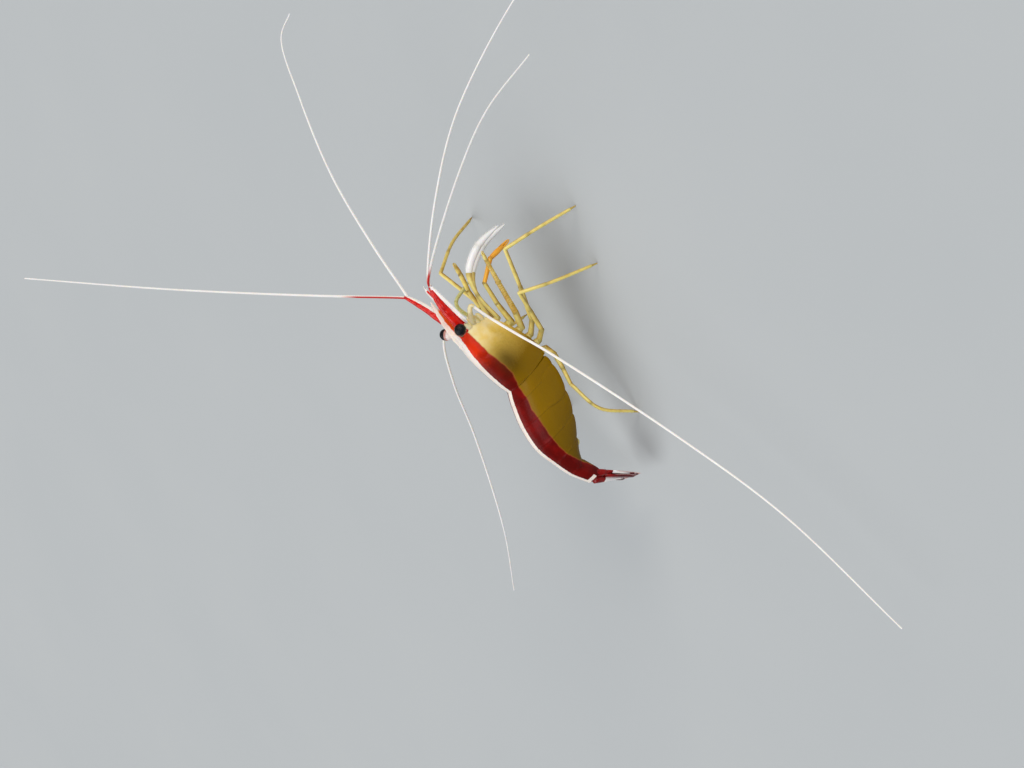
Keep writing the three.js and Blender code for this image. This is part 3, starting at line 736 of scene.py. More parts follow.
def somiteShape(index):
    sections, height = abdomen["sections"], profile[:, 1]
    front, rear, out = abdomen["flaps"][index]
    length = math.dist(sections[index][:2], sections[index + 1][:2])
    share = 1 / (len(sections) - 1)
    rings, heights = [], []

    # s runs from 0 to 1 along the somite
    def add(s, inset):
        inside = np.clip(s, 0, 1)
        flap = np.clip((0.5 - height) / 0.4, 0, 1) ** 0.8
        reach = (-front * (1 - inside) ** 3 + rear * inside ** 3) * flap / length
        rise = abdomen["lift"] * (0.35 * (2 * s - 1) ** 2 + 0.65 * (2 * s - 1) ** 4)
        ring, where = shellRing(sections, index * share, inset, rise, (reach + s) * share)
        outwards = (out * np.clip((0.5 - height) / 0.2, 0, 1)
                    + abdomen["knob"] * bell(height, 0.44, 0.035) * bell(s, 0.97, 0.05))
        ring[:, 1] += np.sign(ring[:, 1]) * outwards * (np.abs(profile[:, 0]) > 0.5)
        rings.append(ring)
        heights.append(where)

    start = -0.03 if index else -0.3
    last = index == len(sections) - 2
    end, stop = (1.0, 1.0) if last else (1.03, 1.035)
    for s, inset in ((0.03, 0.4), (0, 0.22), (-0.01, 0.12)):
        add(start + s, inset)
    for s in np.linspace(start, end, abdomen["rows"]):
        neck = abdomen["neck"] * (1 - np.clip(s / 0.12, 0, 1)) ** 1.2
        add(s, neck - abdomen["lip"] * np.clip((s - 0.9) / 0.1, 0, 1) ** 2)
    for s, inset in ((0.004, 0), (0, 0.06), (-0.02, 0.12), (-0.1, 0.2)):
        add(stop + s, inset)
    return shellFrom(rings, heights)


for index in range(len(abdomen["flaps"])):
    makePiece(f"abdomenShell{index + 1}", [somiteShape(index)], shellSkin,
              [f"abdomen_{index + 1}"], bandMarkNames, sharp=55)
print("trunk shells made")

# The tail fan. Its own frame runs along +X from the last somite, with +Z its upper face.
tailFan = {
    "place": (-23.9, 0, 0.9), "drop": math.radians(38),
    # where each plate starts, how it rises or falls along its length, and its splay in degrees; how
    # far in its white starts, and from which share of its length painted shade darkens it, and how much
    "telson": {"length": 6.9, "place": (-1.1, 0, 0.54), "slope": -0.075, "thickness": (1.25, 0.3)},
    "inner": {"length": 6.4, "width": 2.2, "place": (0.6, 1.15, -0.12), "slope": 0.03, "splay": 7,
              "whiteFrom": 1.3, "dusk": (0.2, 0.7)},
    "outer": {"length": 6.9, "width": 2.5, "place": (0.5, 1.45, -0.86), "slope": 0.10, "splay": 10,
              "whiteFrom": 0.25, "dusk": (0.5, 0.85)},
    # half widths at shares of the length: the telson's edges, and a uropod's outer and inner edge
    "telsonEdge": [(0, 0.8), (0.1, 1.1), (0.25, 1.08), (0.6, 0.72), (0.9, 0.34), (1, 0.1)],
    "straightEdge": [(0, 0.2), (0.1, 0.33), (0.4, 0.43), (0.82, 0.42), (0.94, 0.24), (1, 0.05)],
    "roundEdge": [(0, 0.2), (0.1, 0.34), (0.4, 0.47), (0.75, 0.46), (0.93, 0.28), (1, 0.05)],
    "spines": [(25, 0.5, 0.4), (32, 0.5, 0.36), (42, 0.8, 0.8), (42, 0.3, 0.5)],   # row, out, length
    "stem": [(-1.3, 0.8, -0.5), (-0.3, 1.1, -0.5), (0.7, 1.4, -0.55), (1.5, 1.6, -0.6)],
    "stemRadii": [(0.8, 0.8), (0.85, 0.72), (0.75, 0.55), (0.45, 0.35)],
}


def fromFan(points):
    x, y, z = np.moveaxis(np.asarray(points, float), -1, 0)
    cosine, sine = math.cos(tailFan["drop"]), math.sin(tailFan["drop"])
    back, left, up = tailFan["place"]
    return fromBody(np.stack((back - cosine * x - sine * z, left - y, up - sine * x + cosine * z), -1))


# A thin closed blade from a narrow root. The outline gives its right (-) and left (+) edge at each
# share of its length; each rib is a raised line at that share of the half width, of that height.
def bladeGrid(length, outline, thickness, arch, ribs, rows=44, count=36, slope=0.0):
    share = (1 - np.cos(np.linspace(0.04, math.pi - 0.03, rows))) / 2
    low, high = outline(share)
    middle, half = ((high + low) / 2)[:, None], ((high - low) / 2)[:, None]
    angle = roundAngles(count)[None]
    across, above = np.cos(angle), np.sin(angle)
    deep = np.interp(share, (0, 1), np.broadcast_to(thickness, 2))[:, None]
    share = share[:, None]
    taper = (np.clip(share / 0.06, 0, 1) * np.clip((1 - share) / 0.08, 0.15, 1)) ** 0.5
    z = (np.abs(above) ** 0.55 * np.sign(above) * deep / 2 * taper
         + arch * (1 - across ** 2) * np.minimum(1, half))
    for where, height in ribs:
        z = z + height * bell(across, where, 0.11) * np.maximum(above, 0) ** 0.3 * taper
    grid = np.stack((np.broadcast_to(share * length, z.shape), middle + half * across,
                     z + share * length * slope), -1)
    return grid, share, across


# The edges of a blade that is straight on its outer side and rounded on its inner.
def bladeOutline(width, outerSide, straight, rounded):
    def outline(share):
        outer, inner = (width * np.interp(share, *np.transpose(edge)) for edge in (straight, rounded))
        return (-inner, outer) if outerSide > 0 else (-outer, inner)
    return outline


def spinWith(points, splay, place):
    cosine, sine = math.cos(math.radians(splay)), math.sin(math.radians(splay))
    x, y, z = np.moveaxis(points, -1, 0)
    return np.stack((x * cosine - y * sine, x * sine + y * cosine, z), -1) + place


# Bristle roots along one edge of a blade, and where they lean: outwards and on along it.
def edgeFringe(placed, rows, column, outward):
    centre = placed.mean(1)
    heading = headings(centre)
    edge = placed[rows, column]
    return edge, unit(unit(edge - centre[rows]) * outward + heading[rows])


def makeTailFan():
    fringes = []

    def plate(name, shapes, grid, marks, nodes, fromRow):
        placed = fromFan(grid)
        makePiece(name, [loftShape(placed, marks), *shapes], tailSkin, nodes, redWhiteMarks)
        rows = np.arange(fromRow, len(placed))
        fringes.extend(edgeFringe(placed, rows, column, 0.8) for column in (0, grid.shape[1] // 2))

    telson, edge = tailFan["telson"], tailFan["telsonEdge"]
    grid, share, across = bladeGrid(telson["length"], bladeOutline(1, 1, edge, edge), telson["thickness"],
                                    0.3, [(0.45, 0.08), (-0.45, 0.08)], slope=telson["slope"])
    grid = grid + telson["place"]
    quarter, spines = grid.shape[1] // 4, []
    for row, out, size in tailFan["spines"]:
        for sign in (1, -1):
            root = grid[row, round(quarter * (1 - sign * out))]
            tip = root + (size, 0.08 * sign, 0.1 if row < 40 else -0.05)
            spines.append(spineShape(*fromFan([root, tip]), 0.08, marks={"white": 0.5}))
    run = share * telson["length"] + telson["place"][0]
    # painted shade darkens the telson towards its tip
    marks = {"white": (run - 0.8) * 0.8 - 0.25 * np.abs(across), "dusk": np.clip((run - 4.6) * 0.5, 0, 0.6)}
    plate("telsonPlate", spines, grid, marks, ["telson"], 33)

    for side, sign in sides.items():
        for kind in ("inner", "outer"):
            size = tailFan[kind]
            length = size["length"]
            outline = bladeOutline(size["width"], -sign, tailFan["straightEdge"], tailFan["roundEdge"])
            grid, share, across = bladeGrid(length, outline, (0.5, 0.24), 0.16,
                                            [(0.0, 0.09), (-0.62 * sign, 0.06)], slope=size["slope"])
            grid = spinWith(grid, -sign * size["splay"], np.array(size["place"]) * (1, -sign, 1))
            run, shapes = share * length, []
            if kind == "outer":      # it also has a hinge line, a spine at its end, and the stem
                grid[..., 2] -= bell(run, length * 0.78, 0.1) * 0.05
                row = int(np.argmin(abs(share[:, 0] - 0.84)))
                column = 0 if sign < 0 else grid.shape[1] // 2
                root, ahead = fromFan(grid[[row, row + 4], column])
                stem = fromFan(np.array(tailFan["stem"]) * (1, -sign, 1))
                shapes = [spineShape(root, root + unit(ahead - root) * 0.7, 0.12),
                          tubeShape(stem, tailFan["stemRadii"], 20, upOfBody, (0.5, 0.7),
                                    {"white": [-1] * 4})]
            white = np.minimum(run - length * 0.22, (length * 0.7 - run) * 0.4)
            white = np.minimum(white, -size["whiteFrom"] - sign * across * 0.9)
            # painted shade darkens each uropod towards its tip
            shadeFrom, shadeMost = size["dusk"]
            dusk = np.clip((share - shadeFrom) / 0.25, 0, 1) * shadeMost
            plate(f"uropod{kind.title()}{side.title()}", shapes, grid, {"white": white, "dusk": dusk},
                  [f"uropod_{kind}_{side}"], 16)
    print("tail fan made")
    return fringes


tailFringes = makeTailFan()

# Bristles on routes: cones of four sides that stand on the route and lean as its points say.
def makeBristleTree():
    tree, source = newTree("bristleTree", {
        "Spacing": "Float", "Length": "Float", "Thickness": "Float", "Scatter": "Float",
        "Seed": "Int", "Material": "Material"})
    curve = addNode(tree, "GeometryNodeMeshToCurve", {"Mesh": source["Geometry"]})
    spots = addNode(tree, "GeometryNodeResampleCurve",
                    {"Curve": curve, "Length": source["Spacing"]}, mode="LENGTH")
    lean = addNode(tree, "GeometryNodeInputNamedAttribute", {"Name": "lean"}, data_type="FLOAT_VECTOR")
    stray = addNode(tree, "FunctionNodeRandomValue",
                    {0: (-1, -1, -1), 1: (1, 1, 1), "Seed": source["Seed"]}, data_type="FLOAT_VECTOR")
    stray = addNode(tree, "ShaderNodeVectorMath", {0: stray, "Scale": source["Scatter"]},
                    operation="SCALE")
    direction = addNode(tree, "ShaderNodeVectorMath", {0: lean, 1: stray})
    turn = addNode(tree, "FunctionNodeAlignRotationToVector", {"Vector": direction}, axis="Z")
    length = addNode(tree, "FunctionNodeRandomValue", {2: 0.75, 3: 1.1, "Seed": source["Seed"]}, 1)
    length = addNode(tree, "ShaderNodeMath", {0: length, 1: source["Length"]}, operation="MULTIPLY")
    size = addNode(tree, "ShaderNodeCombineXYZ",
                   {"X": source["Thickness"], "Y": source["Thickness"], "Z": length})
    cone = addNode(tree, "GeometryNodeMeshCone", {"Vertices": 4, "Side Segments": 2, "Radius Top": 0.12,
                                                  "Radius Bottom": 1.0, "Depth": 1.0})
    cones = addNode(tree, "GeometryNodeInstanceOnPoints",
                    {"Points": spots, "Instance": cone, "Rotation": turn, "Scale": size})
    return endTree(tree, cones, source["Material"])


# Real bristles are a tenth as thick; these are drawn coarse enough to show. In millimetres: how far
# apart they stand, their length and thickness. Then how far they stray, and the seed of that.
bristles = {
    "tailFringe": (0.13, 0.7, 0.028, 0.1, 3),
    "scaleFringe": (0.13, 0.6, 0.03, 0.1, 5),
    "mouthFootBristles": (0.3, 0.65, 0.03, 0.25, 8),
    "walkingLegSpines": (0.8, 0.42, 0.06, 0.1, 11),
}
bristleTree = makeBristleTree()


def growBristles(name, fringes, material):
    spacing, length, thickness, scatter, seed = bristles[name]
    values = {"Spacing": spacing * mm, "Length": length * mm, "Thickness": thickness * mm,
              "Scatter": scatter, "Seed": seed, "Material": material}
    routes, leans = zip(*fringes)
    growPiece(name, routes, bristleTree, values, leans=leans)


growBristles("tailFringe", tailFringes, tailBristleSkin)


# Lenses: a ball cut into raised six-sided facets.
def makeFacetTree():
    tree, source = newTree("facetTree", {"Radius": "Float", "Subdivisions": "Int", "Rise": "Float",
                                         "Facet Size": "Float", "Material": "Material"})
    ball = addNode(tree, "GeometryNodeMeshIcoSphere",
                   {"Radius": source["Radius"], "Subdivisions": source["Subdivisions"]})
    cells = addNode(tree, "GeometryNodeDualMesh", {"Mesh": ball})
    raised = addNode(tree, "GeometryNodeExtrudeMesh",
                     {"Mesh": cells, "Offset Scale": source["Rise"], "Individual": True}, "Mesh")
    narrowed = addNode(tree, "GeometryNodeScaleElements",
                       {"Geometry": raised, "Selection": raised.node.outputs["Top"],
                        "Scale": source["Facet Size"]})
    eye = addNode(tree, "GeometryNodeInstanceOnPoints",
                  {"Points": source["Geometry"], "Instance": narrowed})
    return endTree(tree, eye, source["Material"])


# Eyes: a ball of lenses on a stalk that ends in a cup round it.
def makeEyes():
    facetTree = makeFacetTree()
    angle = roundAngles(28)[:, None]
    for side, sign in sides.items():
        centre, root = fromBody([eyes[side], np.array(eyes["root"]) * (1, sign, 1)])
        growPiece(f"eyeBall{side.title()}", [centre[None]], facetTree,
                  {"Radius": (eyes["radius"] - eyes["facetRise"]) * mm, "Subdivisions": eyes["facets"],
                   "Rise": eyes["facetRise"] * mm, "Facet Size": eyes["facetSize"],
                   "Material": corneaSkin}, [f"eye_{side}"])
        toEye, reach = unit(centre - root), np.linalg.norm(centre - root)
        back, size = np.array([(reach * share, radius) for share, radius in eyes["stalk"]]
                              + eyes["cup"]).T[..., None]
        lift = unit(upOfBody - toEye * upOfBody.dot(toEye))
        circle = np.cross(toEye, lift) * np.cos(angle) + lift * np.sin(angle)
        rings = (centre - toEye * back)[:, None] + circle * size[..., None]
        # red round the rim, and on the lower side of the stalk's end
        patch = bell(back, 0.6, 0.35) * np.clip(-circle @ upOfBody * 1.2, 0, 1) * 0.9
        patch = np.maximum(patch, np.where((back > 0.3) & (back < 0.7), 1.5, 0))
        makePiece(f"eyeStalk{side.title()}", [loftShape(rings, {"joint": patch})], stalkSkin,
                  [f"eyestalk_{side}"], limbMarks)


makeEyes()
print("eyes made")


# A limb of several segments: each is narrow where it leaves the last one and swells to its end.
# Joints are distances along the path, and the tip says how far the end's dome stands out.
def limbShapes(path, radii, joints, count=14, swell=0.07, waist=0.1, tip=0.7):
    run = distances(path)
    at = np.linspace(0, run[-1], len(radii)) if len(radii) != len(path) else run
    shapes = []
    for number, (start, end) in enumerate(zip(joints, joints[1:])):
        last = number == len(joints) - 2
        begin = start - (np.interp(start, at, radii) * 0.35 if number else 0)
        place = np.linspace(begin, end, max(9, int((end - begin) / 0.35)))
        share = (place - begin) / (end - begin)
        radius = np.interp(place, at, radii) * (
            1 - (waist * bell(share, 0, 0.13) if number else 0)
            + (0 if last else swell * bell(share, 0.93, 0.12)))
        near = np.maximum(bell(place, start, 0.55) if number else 0 * place,
                          0 * place if last else bell(place, end, 0.55))
        shape = tubeShape(alongPath(path, np.clip(place, 0, run[-1])), radius, count,
                          domes=(0.6, tip if last else 0.75), marks={"joint": near})
        shape[2]["along"] = shape[2]["along"] + begin
        shapes.append(shape)
    return shapes


# The body's points on one side, from those given for the left.
def onSide(points, sign):
    return fromBody(np.array(points) * (1, sign, 1))


antennules = {
    "right": [(13.0, -1.2, -3.3), (19.7, -2.1, -3.45), (23.9, -2.45, -4.5)],
    "left": [(13.0, 1.35, -3.6), (18.1, 1.5, -3.1), (21.1, 2.1, -3.05), (23.5, 3, -2.95), (25, 4, -3.0)],
    "radii": {"right": [1.0, 1.05, 1.0, 0.9, 0.7, 0.42], "left": [0.9, 0.9, 0.85, 0.78, 0.64, 0.42]},
    "joints": np.array((0, 0.55, 0.8, 1)),       # shares of the length
    "spine": [(14.0, 2.1, -3.4), (17.2, 2.75, -3.5)],
}


def makeAntennules():
    for side, sign in sides.items():
        path = evenRun(fromBody(antennules[side]), 0.4)
        length = distances(path)[-1]
        shapes = limbShapes(path, antennules["radii"][side], antennules["joints"] * length,
                            count=20, swell=0.05, waist=0.07, tip=1.3)
        for _, _, marks in shapes:
            marks["white"] = -0.89 * marks["facingUp"] - 0.455 * sign * marks["facingLeft"] - 0.22
            marks["dusk"] = np.clip((marks["along"] - length + 0.5) * 0.4, 0, 0.3)
        shapes.append(spineShape(*onSide(antennules["spine"], sign), 0.3, 10, marks={"white": -1.0}))
        makePiece(f"antennuleBase{side.title()}", shapes, antennuleSkin,
                  [f"antennule_{side}"], redWhiteMarks)


antennaRoots = {
    "path": [(11.4, 0.9, -5.3), (13.6, 1.95, -4.95), (15.05, 3.3, -5.25), (15.9, 3.75, -5.85),
             (16.25, 4.0, -6.4), (15.85, 4.15, -6.62)],
    "radii": [0.8, 0.85, 0.66, 0.54, 0.47, 0.38],
    "joints": np.array((0, 0.36, 0.7, 1)),       # shares of the length
    "spines": [(14.6, 2.6, -4.3), (14.6, 2.75, -5.45), (14.1, 2.2, -5.55)],
}


def makeAntennaRoots():
    for side, sign in sides.items():
        path = evenRun(onSide(antennaRoots["path"], sign), 0.3)
        joints = antennaRoots["joints"] * distances(path)[-1]
        shapes = limbShapes(path, antennaRoots["radii"], joints, count=18)
        for spine in np.array(antennaRoots["spines"]):
            ends = onSide([spine - (1.0, 0.3, 0.1), spine + (0.5, 0.3, 0)], sign)
            shapes.append(spineShape(*ends, 0.2))
        makePiece(f"antennaRoot{side.title()}", shapes, creamSkin,
                  [f"antenna_base_{side}"], limbMarks)


antennalScales = {
    "right": ((14.7, -2.6, -3.75), (24.3, -3.1, -4.35), 14),    # root, tip, roll in degrees
    "left": ((14.7, 2.85, -5.2), (23.3, 3.7, -6.7), -8),
    "whiteFrom": {"right": 0.26, "left": -0.35},   # share of the half width where white starts
    "width": 2.15,
    # half widths, as shares of the width, along the length
    "straightEdge": [(0, 0.3), (0.08, 0.42), (0.5, 0.38), (0.9, 0.28), (0.96, 0.17), (1, 0.03)],
    "roundEdge": [(0, 0.25), (0.08, 0.42), (0.35, 0.62), (0.7, 0.5), (0.93, 0.22), (1, 0.03)],
}


def makeAntennalScales():
    fringes = []
    for side, sign in sides.items():
        base, tip, roll = antennalScales[side]
        reach = Vector(tip) - Vector(base)
        outline = bladeOutline(antennalScales["width"], sign, antennalScales["straightEdge"],
                               antennalScales["roundEdge"])
        grid, share, across = bladeGrid(reach.length, outline, 0.34, 0.12,
                                        [(0.86 * sign, 0.1), (0.2 * sign, 0.05)], rows=60)
        turn = Vector((1, 0, 0)).rotation_difference(reach) @ Quaternion((1, 0, 0), math.radians(roll))
        placed = fromBody(grid @ np.array(turn.to_matrix()).T + base)
        white = np.maximum((across * sign - antennalScales["whiteFrom"][side]) * 1.2, (share - 0.93) * 6)
        outer, inner = (0, grid.shape[1] // 2)[::sign]
        row = int(0.84 * len(grid))
        root, ahead = placed[[row, row + 4], outer]
        spine = spineShape(root, root + unit(ahead - root) * 1.3, 0.16, marks={"white": 1.0})
        makePiece(f"antennalScale{side.title()}", [loftShape(placed, {"white": white, "dusk": 0.0}), spine],
                  antennuleSkin, [f"antennal_scale_{side}"], redWhiteMarks)
        fringes.append(edgeFringe(placed, np.arange(18, 59), inner, 0.7))
    growBristles("scaleFringe", fringes, bristleSkin)


makeAntennules()
makeAntennaRoots()
makeAntennalScales()


# Rings threaded on a route: four stations to a ring, the first of them drawn in.
def makeRingTree():
    tree, source = newTree("ringTree", {
        "Article": "Float", "Base Radius": "Float", "Tip Radius": "Float", "Waist": "Float",
        "Red Length": "Float", "Sides": "Int", "Material": "Material"})
    curve = addNode(tree, "GeometryNodeMeshToCurve", {"Mesh": source["Geometry"]})
    quarter = addNode(tree, "ShaderNodeMath", {0: source["Article"], 1: 4.0}, operation="DIVIDE")
    stations = addNode(tree, "GeometryNodeResampleCurve", {"Curve": curve, "Length": quarter},
                       mode="LENGTH")
    parameter = addNode(tree, "GeometryNodeSplineParameter").node.outputs
    step = addNode(tree, "ShaderNodeMath", {0: parameter["Index"], 1: 4.0}, operation="MODULO")
    first = addNode(tree, "ShaderNodeMath", {0: step, 1: 0.5}, operation="LESS_THAN")
    waist = addNode(tree, "ShaderNodeMath", {0: first, 1: source["Waist"]}, operation="MULTIPLY")
    full = addNode(tree, "ShaderNodeMath", {0: 1.0, 1: waist}, operation="SUBTRACT")
    wide = addNode(tree, "ShaderNodeMapRange",
                   {0: parameter["Factor"], 3: source["Base Radius"], 4: source["Tip Radius"]})
    radius = addNode(tree, "ShaderNodeMath", {0: wide, 1: full}, operation="MULTIPLY")
    left = addNode(tree, "ShaderNodeMath", {0: source["Red Length"], 1: parameter["Length"]},
                   operation="SUBTRACT")
    redness = addNode(tree, "ShaderNodeMapRange", {0: left, 1: -2.0 * mm, 2: 1.0 * mm})
    marked = addNode(tree, "GeometryNodeStoreNamedAttribute",
                     {"Geometry": stations, "Name": "rootRed", "Value": redness})
    circle = addNode(tree, "GeometryNodeCurvePrimitiveCircle",
                     {"Resolution": source["Sides"], "Radius": 1.0})
    tube = addNode(tree, "GeometryNodeCurveToMesh",
                   {"Curve": marked, "Profile Curve": circle, "Scale": radius, "Fill Caps": True})
    return endTree(tree, tube, source["Material"])


ringTree = makeRingTree()


# Rings are the length of a ring, how far each is drawn in, and its sides; none is red past -2 mm.
def growRings(name, route, rings, radii, material, nodes=(), redLength=-9.0):
    growPiece(name, [route], ringTree,
              {"Article": rings["length"] * mm, "Base Radius": radii[0] * mm,
               "Tip Radius": radii[1] * mm, "Waist": rings["waist"], "Red Length": redLength * mm,
               "Sides": rings["sides"], "Material": material}, nodes)


feelers = {
    "rings": {"length": 0.36, "waist": 0.09, "sides": 9}, "radii": (0.27, 0.13),
    "routes": {   # the length that is red at the root, then the route
        "antennule_right_outer_flagellum": (4.2, [
            (24.0, -2.7, 26.2), (24.5, -3.2, 26.5), (27.8, -8.4, 26.8), (40.2, -35, 27.9),
            (46.1, -51.3, 28.5), (50.1, -70.2, 28.8)]),
        "antennule_right_inner_flagellum": (1.2, [
            (24.0, -2.4, 25.8), (24.5, -2.2, 25.9), (26.5, -4.1, 26), (37, -15.6, 24.6), (48.7, -31, 21.6),
            (60.2, -53.8, 15.6), (62.6, -61, 13.2)]),
        "antennule_left_outer_flagellum": (10.5, [
            (24.0, 4.1, 27.9), (24.6, 5, 28.5), (32.1, 13.9, 39.3), (45.5, 28.9, 57.7),
            (60.2, 44.4, 76.4)]),
        "antennule_left_inner_flagellum": (-3.0, [
            (23.9, 3.9, 27.75), (25.4, 4.15, 27.75), (35.3, 4.6, 28.8), (50.2, 4.5, 29.7),
            (65.9, 3.3, 28.7), (76.6, 1.9, 27.1), (79.7, 0, 24.3)]),
        "antenna_right_flagellum": (-3.0, [
            (17.2, -4.1, 20.9), (16.5, -4.4, 20.7), (13.4, -5.9, 19.6), (8.7, -9.4, 18.2),
            (4.4, -13.9, 17.5), (-19.3, -32.8, 12.7), (-38, -47.2, 10.3), (-61.8, -63.3, 10.5)]),
        "antenna_left_flagellum": (-3.0, [
            (17.2, 4.1, 20.9), (16.5, 4.9, 21.0), (13.6, 9.4, 22.2), (5.6, 13.5, 22.3),
            (-5.6, 18.8, 20.7), (-24.8, 28.3, 19.3), (-39.1, 42.9, 16.1)]),
    },
}
for node, (redLength, route) in feelers["routes"].items():
    growRings(pieceName(node), evenRun(route, 0.4), feelers["rings"], feelers["radii"], feelerSkin,
              [node], redLength)
print("feelers made")


# The short first segment, that comes out of the body's underside and carries a limb.
def coxaShape(root, following, radius):
    root, side = np.asarray(root, float), math.copysign(1, root[1])
    path = evenRun([root + (-0.3, -1.3 * side, 1.7), root + (-0.1, -0.5 * side, 0.7),
                    root + (np.asarray(following) - root) * 0.08], 0.25)
    share = np.linspace(0, 1, len(path))
    size = radius * np.interp(share, (0, 0.5, 0.85, 1), (1.25, 1.3, 1.15, 1.0))
    return tubeShape(path, size, 16, domes=(0.5, 0.5), marks={"joint": 0.2 + 0.4 * share})


# The mouth's long feet: yellowish at the root, white from the elbow, with rows of bristles.
mouthFeet = {
    "right": [(12.7, -1.6, 15.8), (18.5, -2.3, 17.9), (22.7, -2.7, 17.7), (26.3, -2.9, 13.6),
              (28, -2.9, 7.6)],
    "left": [(12.7, 1.6, 15.8), (18.3, 1.8, 15.7), (22.4, 1.8, 14.35), (25.9, 1.4, 10.15),
             (27.6, 0.8, 3.9)],
    "radii": [0.42, 0.38, 0.36, 0.42, 0.68, 0.76, 0.7, 0.48, 0.12],
    "yellowSegments": 2,
    "bristleTurns": (65, 90, 115),      # degrees round from the foot's left side to its inner side
}


def makeMouthFeet():
    fringes = []
    for side in sides:
        joints, radii = np.array(mouthFeet[side]), mouthFeet["radii"]
        path = evenRun(joints, 0.5)
        run = distances(path)
        places = [run[np.argmin(np.linalg.norm(path - joint, axis=1))] for joint in joints]
        shapes = limbShapes(path, radii, places, count=16, swell=0.0, waist=0.05, tip=0.9)
        yellow = mouthFeet["yellowSegments"]
        pale = shapes[:yellow] + [coxaShape(joints[0], joints[1], 0.55)]
        for _, _, marks in pale:
            marks["facingUp"] = marks["facingUp"] * 0.9 + 0.5
        makePiece(f"mouthFootRoot{side.title()}", pale, beadSkin, (), limbMarks)
        makePiece(f"mouthFoot{side.title()}", shapes[yellow:], whiteLimbSkin,
                  [f"maxilliped_{side}"], limbMarks)
        rows = np.linspace(places[yellow] + 0.6, run[-1] - 0.3, 30)
        spots = alongPath(path, rows)
        heading = headings(spots)
        inward = unit(np.cross(heading, (0, 1, 0)))
        size = np.interp(rows, np.linspace(0, run[-1], len(radii)), radii)[:, None]
        for turn in np.radians(mouthFeet["bristleTurns"]):
            lean = inward * math.sin(turn) + np.array((0, 1, 0)) * math.cos(turn)
            fringes.append((spots + lean * size * 0.9, unit(lean + heading * 1.6)))
    growBristles("mouthFootBristles", fringes, bristleSkin)


makeMouthFeet()


# A claw: a swollen palm and two fingers, that stand a little apart and meet at their hooked tips.
clawFingers = {"from": 0.52, "apart": 0.05}     # share of the claw where they start, and their gap


def clawShapes(root, tip, size):
    length, heading = np.linalg.norm(tip - root), unit(tip - root)
    hinge = unit(np.cross(heading, (0, 0, 1)) + (0, 0.01, 0))
    apart = np.cross(hinge, heading)
    share = np.linspace(0, 0.6, 12)
    shapes = [tubeShape(root + heading * (share * length)[:, None],
                        size * np.interp(share, (0, 0.12, 0.35, 0.6), (0.75, 0.95, 1.05, 0.85)),
                        14, marks={"joint": bell(share, 0, 0.08)})]
    share = np.linspace(clawFingers["from"], 1, 12)
    inner = (share - clawFingers["from"]) / (1 - clawFingers["from"])
    for way in (-1, 1):
        spread = way * (size * (0.42 - 0.16 * inner) + clawFingers["apart"] * np.sin(inner * math.pi * 0.8))
        path = root + heading * (share * length)[:, None] + apart * spread[:, None]
        path[-2:] -= apart * way * size * np.array((0.1, 0.28))[:, None]
        radius = size * np.interp(inner, (0, 0.2, 0.8, 1), (0.54, 0.5, 0.32, 0.13))
        shapes.append(tubeShape(path, radius, 10, marks={"joint": 0.5 * bell(inner, 0, 0.2)}))
    return shapes


# Claw legs: joints from the root to the claw's tip, radii at all but the last, the claw's half
# width, and which segments are beaded or start to be orange.
clawLegs = {
    "claw_leg_1_right": {
        "joints": [(11.1, -2.4, 14.2), (15.5, -3.4, 15.7), (19.9, -4.1, 16.5), (23.4, -4.7, 13.3),
                   (24.8, -4.9, 8)],
        "radii": [0.62, 0.46, 0.4, 0.46], "claw": 0.52, "orangeFrom": 2, "skin": legSkin},
    "claw_leg_1_left": {
        "joints": [(11.1, 2.4, 14.2), (15.8, 3.2, 15.5), (19.7, 3.7, 15.8), (23, 4.4, 15.3),
                   (25.6, 7, 14)],
        "radii": [0.62, 0.46, 0.42, 0.48], "claw": 0.46, "skin": legSkin},
    "claw_leg_2_right": {
        "joints": [(9.2, -2.5, 12.9), (12.5, -4.5, 13.7), (18.9, -5.8, 14.8), (23.4, -6.8, 15.5),
                   (25.3, -7.2, 15.75)],
        "radii": [0.64, 0.6, 0.55, 0.4], "claw": 0.36, "beads": (1, 3), "skin": beadSkin},
    "claw_leg_2_left": {
        "joints": [(9.2, 2.5, 12.9), (13, 5, 15.4), (17.6, 5.5, 18.4), (19, 5.5, 18.2),
                   (20.5, 5.5, 15.4), (21.2, 5.9, 13.6)],
        "radii": [0.6, 0.42, 0.38, 0.38, 0.36], "claw": 0.32, "beads": (1, 4), "skin": paleLegSkin},
}
beads = {"length": 0.44, "waist": 0.13, "sides": 14}


def makeClawLegs():
    for node, leg in clawLegs.items():
        piece, joints, radii, skin = pieceName(node), np.array(leg["joints"]), leg["radii"], leg["skin"]
        start, end = leg.get("beads", (0, 0))
        segments = len(joints) - 2
        orangeFrom = leg.get("orangeFrom", segments)
        arm, orange = [], []
        for i in range(segments):
            if not start <= i < end:
                shape, = limbShapes(joints[i:i + 2], radii[i:i + 2],
                                    [0, np.linalg.norm(joints[i + 1] - joints[i])], tip=0.8)
                (arm if i < orangeFrom else orange).append(shape)
        for i, joint in enumerate(joints[1:-1]):
            size = radii[i + 1] * 0.97
            ball = tubeShape([joint - (0, 0, size * 0.2 - 0.01), joint + (0, 0, size * 0.2 + 0.01)],
                             [size, size], 14, domes=(0.85, 0.85), marks={"joint": (0.5, 0.5)})
            (arm if i < orangeFrom else orange).append(ball)
        arm.append(coxaShape(joints[0], joints[1], radii[0]))
        claw = clawShapes(joints[-2], joints[-1], leg["claw"])
        if end:
            growRings(piece + "Beads", evenRun(joints[start:end + 1], 0.3), beads,
                      (radii[start], radii[end]), skin)
        makePiece(piece, arm if orange else arm + claw, skin, [node], limbMarks)
        if orange:
            makePiece(piece + "Claw", orange + claw, clawSkin, (), limbMarks)


makeClawLegs()
print("front limbs made")

